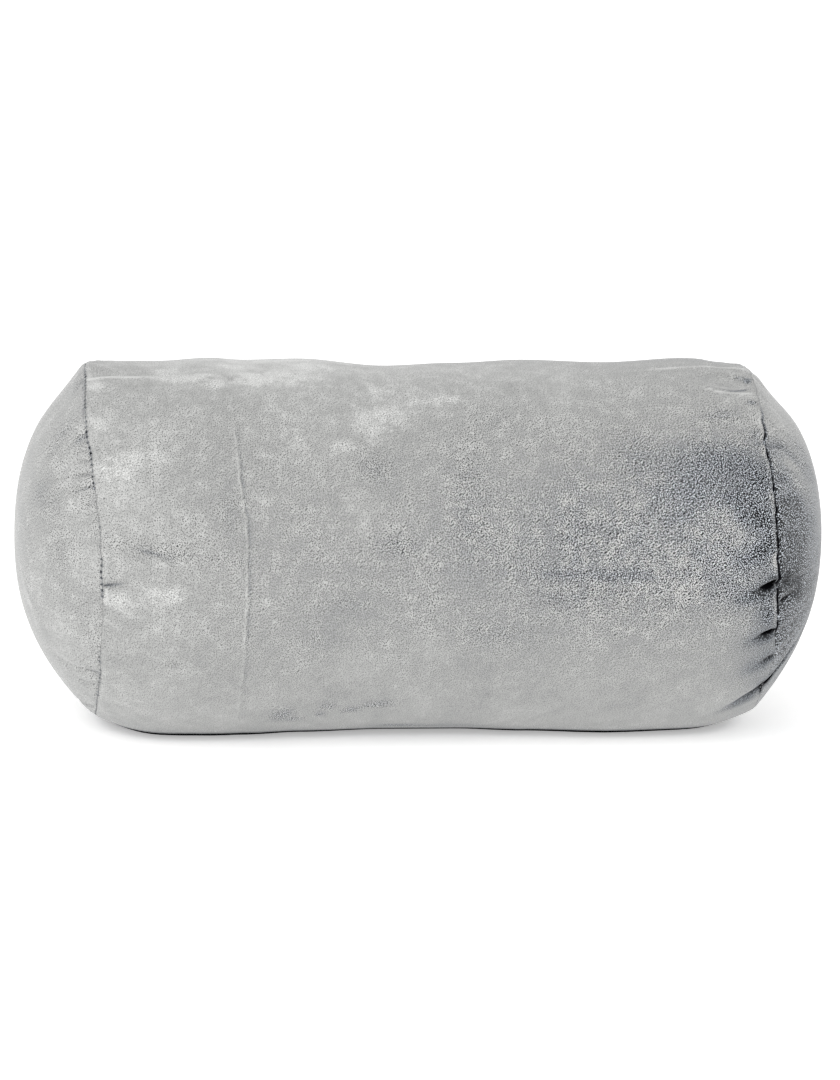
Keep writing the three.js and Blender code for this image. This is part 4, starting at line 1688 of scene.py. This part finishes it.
@dataclass
class SeamStitches:
    """The thread along one end seam: short stitches at the bottom of the groove."""

    side: Side
    length: float = 2.2
    radius: float = 0.2
    height: float = 0.15  # above the bottom of the groove, as a share of its depth
    least: float = 0.6  # every stitch lies at least this deep, in the cloth where the groove is shallow
    uneven: float = 0.15  # how far a stitch may lie above or below that
    zigzag: float = 0.18  # how far one end of a stitch lies aside of the other, in turns to both sides
    sides: int = 6
    seed: int = 5
    profile: Pairs = ((-0.5, 0.45), (-0.36, 1.0), (0.0, 1.0), (0.36, 1.0), (0.5, 0.45))  # place, width

    def build(self) -> Piece:
        """Builds all stitches as one mesh: short capsules along the groove, tilted to and fro."""
        end = ENDS[self.side]
        chance = np.random.default_rng(self.side.value + self.seed)
        spots = START_ANGLE + 360.0 * np.arange(STITCHES) / STITCHES
        places, widths = (np.array(part) for part in zip(*self.profile))
        swing = np.degrees(self.length / end.half_depth)
        angle = spots[:, None] + swing * places[None, :]
        lean = self.zigzag * np.where(np.arange(STITCHES) % 2, 1.0, -1.0)[:, None] * places[None, :]
        groove = end.groove(angle)
        lift = np.maximum(-self.height * groove, self.least - groove)
        lift = lift + self.uneven * chance.uniform(-1, 1, (STITCHES, 1))
        middle = end.groove_point(angle, 0.0, 0.0) + end.inwards(angle) * lift[..., None]
        middle += end.across(angle) * lean[..., None]
        around = 2 * np.pi * np.arange(self.sides) / self.sides
        out = -end.inwards(angle)[:, :, None, :] * np.cos(around)[:, None]
        out = out + end.across(angle)[:, :, None, :] * np.sin(around)[:, None]
        points = middle[:, :, None, :] + out * (self.radius * widths)[None, :, None, None]
        index = np.arange(points.size // 3).reshape(points.shape[:3])
        ahead, beside = index[:, 1:], np.roll(index, -1, axis=2)
        quads = np.stack([index[:, :-1], beside[:, :-1], beside[:, 1:], ahead], axis=-1).reshape(-1, 4)
        faces = [quads, index[:, 0, ::-1], index[:, -1]]
        if self.side is Side.LEFT:
            faces = [part[:, ::-1] for part in faces]
        return write_mesh(f"seam_stitches_{self.side.name.lower()}", points.reshape(-1, 3), faces)

    def dress(self, piece: Piece, finish: Material) -> None:
        """Gives the stitches their thread and their place in the part."""
        piece.data.materials.append(finish)
        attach(piece, BODY)


@dataclass
class Studio:
    """A white floor, soft light from all round with a key from the upper left, and the camera."""

    floor_half: float = 14000.0
    floor_gap: float = 0.4
    sky: float = 0.8
    key: float = 1.3
    key_angle: float = 55.0
    key_from: tuple[float, float, float] = (-0.45, -0.7, 0.75)
    azimuth: float = -8.1
    elevation: float = 12.5
    roll: float = 1.75
    distance: float = 2500.0
    pixel: float = 0.4975  # millimetres a pixel at the roll's middle
    aim: tuple[float, float, float] = (0.0, 0.0, 88.0)
    aim_pixel: tuple[float, float] = (417.5, 545.0)
    frame_pixels: tuple[int, int] = (840, 1080)
    sensor: float = 36.0

    def build_floor(self, finish: Material) -> Piece:
        """The floor, just under the roll."""
        half, low = self.floor_half, -self.floor_gap
        corners = np.array([(-half, -half, low), (half, -half, low), (half, half, low), (-half, half, low)])
        floor = write_mesh("floor", corners, [np.array([[0, 1, 2, 3]])])
        floor.data.materials.append(finish)
        return floor

    @staticmethod
    def place(piece: Piece, axes: Sequence[Array], spot: Array) -> None:
        """Puts a light or camera into the scene, with its axes as columns and its spot in millimetres."""
        turned = Matrix(np.column_stack(axes).tolist()).to_4x4()
        piece.matrix_world = Matrix.Translation((spot * MM).tolist()) @ turned
        bpy.context.scene.collection.objects.link(piece)

    def build_light(self) -> None:
        """An even white sky and one large soft key light."""
        scene = bpy.context.scene
        scene.view_settings.view_transform = "Standard"
        world = bpy.data.worlds.new("studio")
        world.use_nodes = True
        backdrop = world.node_tree.nodes["Background"]
        backdrop.inputs["Color"].default_value = (1.0, 1.0, 1.0, 1.0)
        backdrop.inputs["Strength"].default_value = self.sky
        scene.world = world
        lamp = bpy.data.lights.new("key", "SUN")
        lamp.energy = self.key
        lamp.angle = np.radians(self.key_angle)
        towards = unit(np.array(self.key_from))
        right = unit(np.cross((0.0, 0.0, 1.0), towards))
        axes = (right, np.cross(towards, right), towards)
        self.place(bpy.data.objects.new("key", lamp), axes, np.zeros(3))

    def build_camera(self) -> None:
        """The camera at the photograph's viewing angle, turned a little about its own axis."""
        across, up = np.radians(self.azimuth), np.radians(self.elevation)
        back = np.array([np.sin(across) * np.cos(up), -np.cos(across) * np.cos(up), np.sin(up)])
        level = np.array([np.cos(across), np.sin(across), 0.0])
        upright = np.cross(back, level)
        c, s = np.cos(np.radians(self.roll)), np.sin(np.radians(self.roll))
        right, top = c * level + s * upright, c * upright - s * level
        wide, high = self.frame_pixels
        aside = (wide / 2 - self.aim_pixel[0]) * self.pixel
        above = (self.aim_pixel[1] - high / 2) * self.pixel
        spot = np.array(self.aim) + back * self.distance + right * aside + top * above
        lens = bpy.data.cameras.new("camera")
        lens.sensor_width = self.sensor
        lens.lens = self.sensor * self.distance / (high * self.pixel)
        camera = bpy.data.objects.new("camera", lens)
        self.place(camera, (right, top, back), spot)
        bpy.context.scene.camera = camera


def report(piece: Piece) -> None:
    """Logs a piece's name and number of faces."""
    LOG.info("%s: %d faces", piece.name, len(piece.data.polygons))


def main() -> None:
    """Builds the studio, the barrel, the panels and the stitches in order."""
    logging.basicConfig(level=logging.INFO, format="%(name)s %(message)s")
    studio = Studio()
    studio.build_camera()
    studio.build_light()
    report(studio.build_floor(FloorFinish().material()))
    wrinkles = FilledCover().wrinkles()
    barrel = BarrelCover()
    piece = barrel.build(wrinkles)
    barrel.dress(piece, VelvetFinish("barrel_velvet", BARREL_TONE).material())
    report(piece)
    end_velvet = VelvetFinish("end_velvet", PANEL_TONE).material()
    thread = ThreadFinish().material()
    for side, nap in ((Side.LEFT, LEFT_NAP), (Side.RIGHT, RIGHT_NAP)):
        panel = EndPanel(side, nap)
        piece = panel.build(wrinkles)
        panel.dress(piece, end_velvet)
        report(piece)
        stitches = SeamStitches(side)
        piece = stitches.build()
        stitches.dress(piece, thread)
        report(piece)


if __name__ == "__main__":
    main()
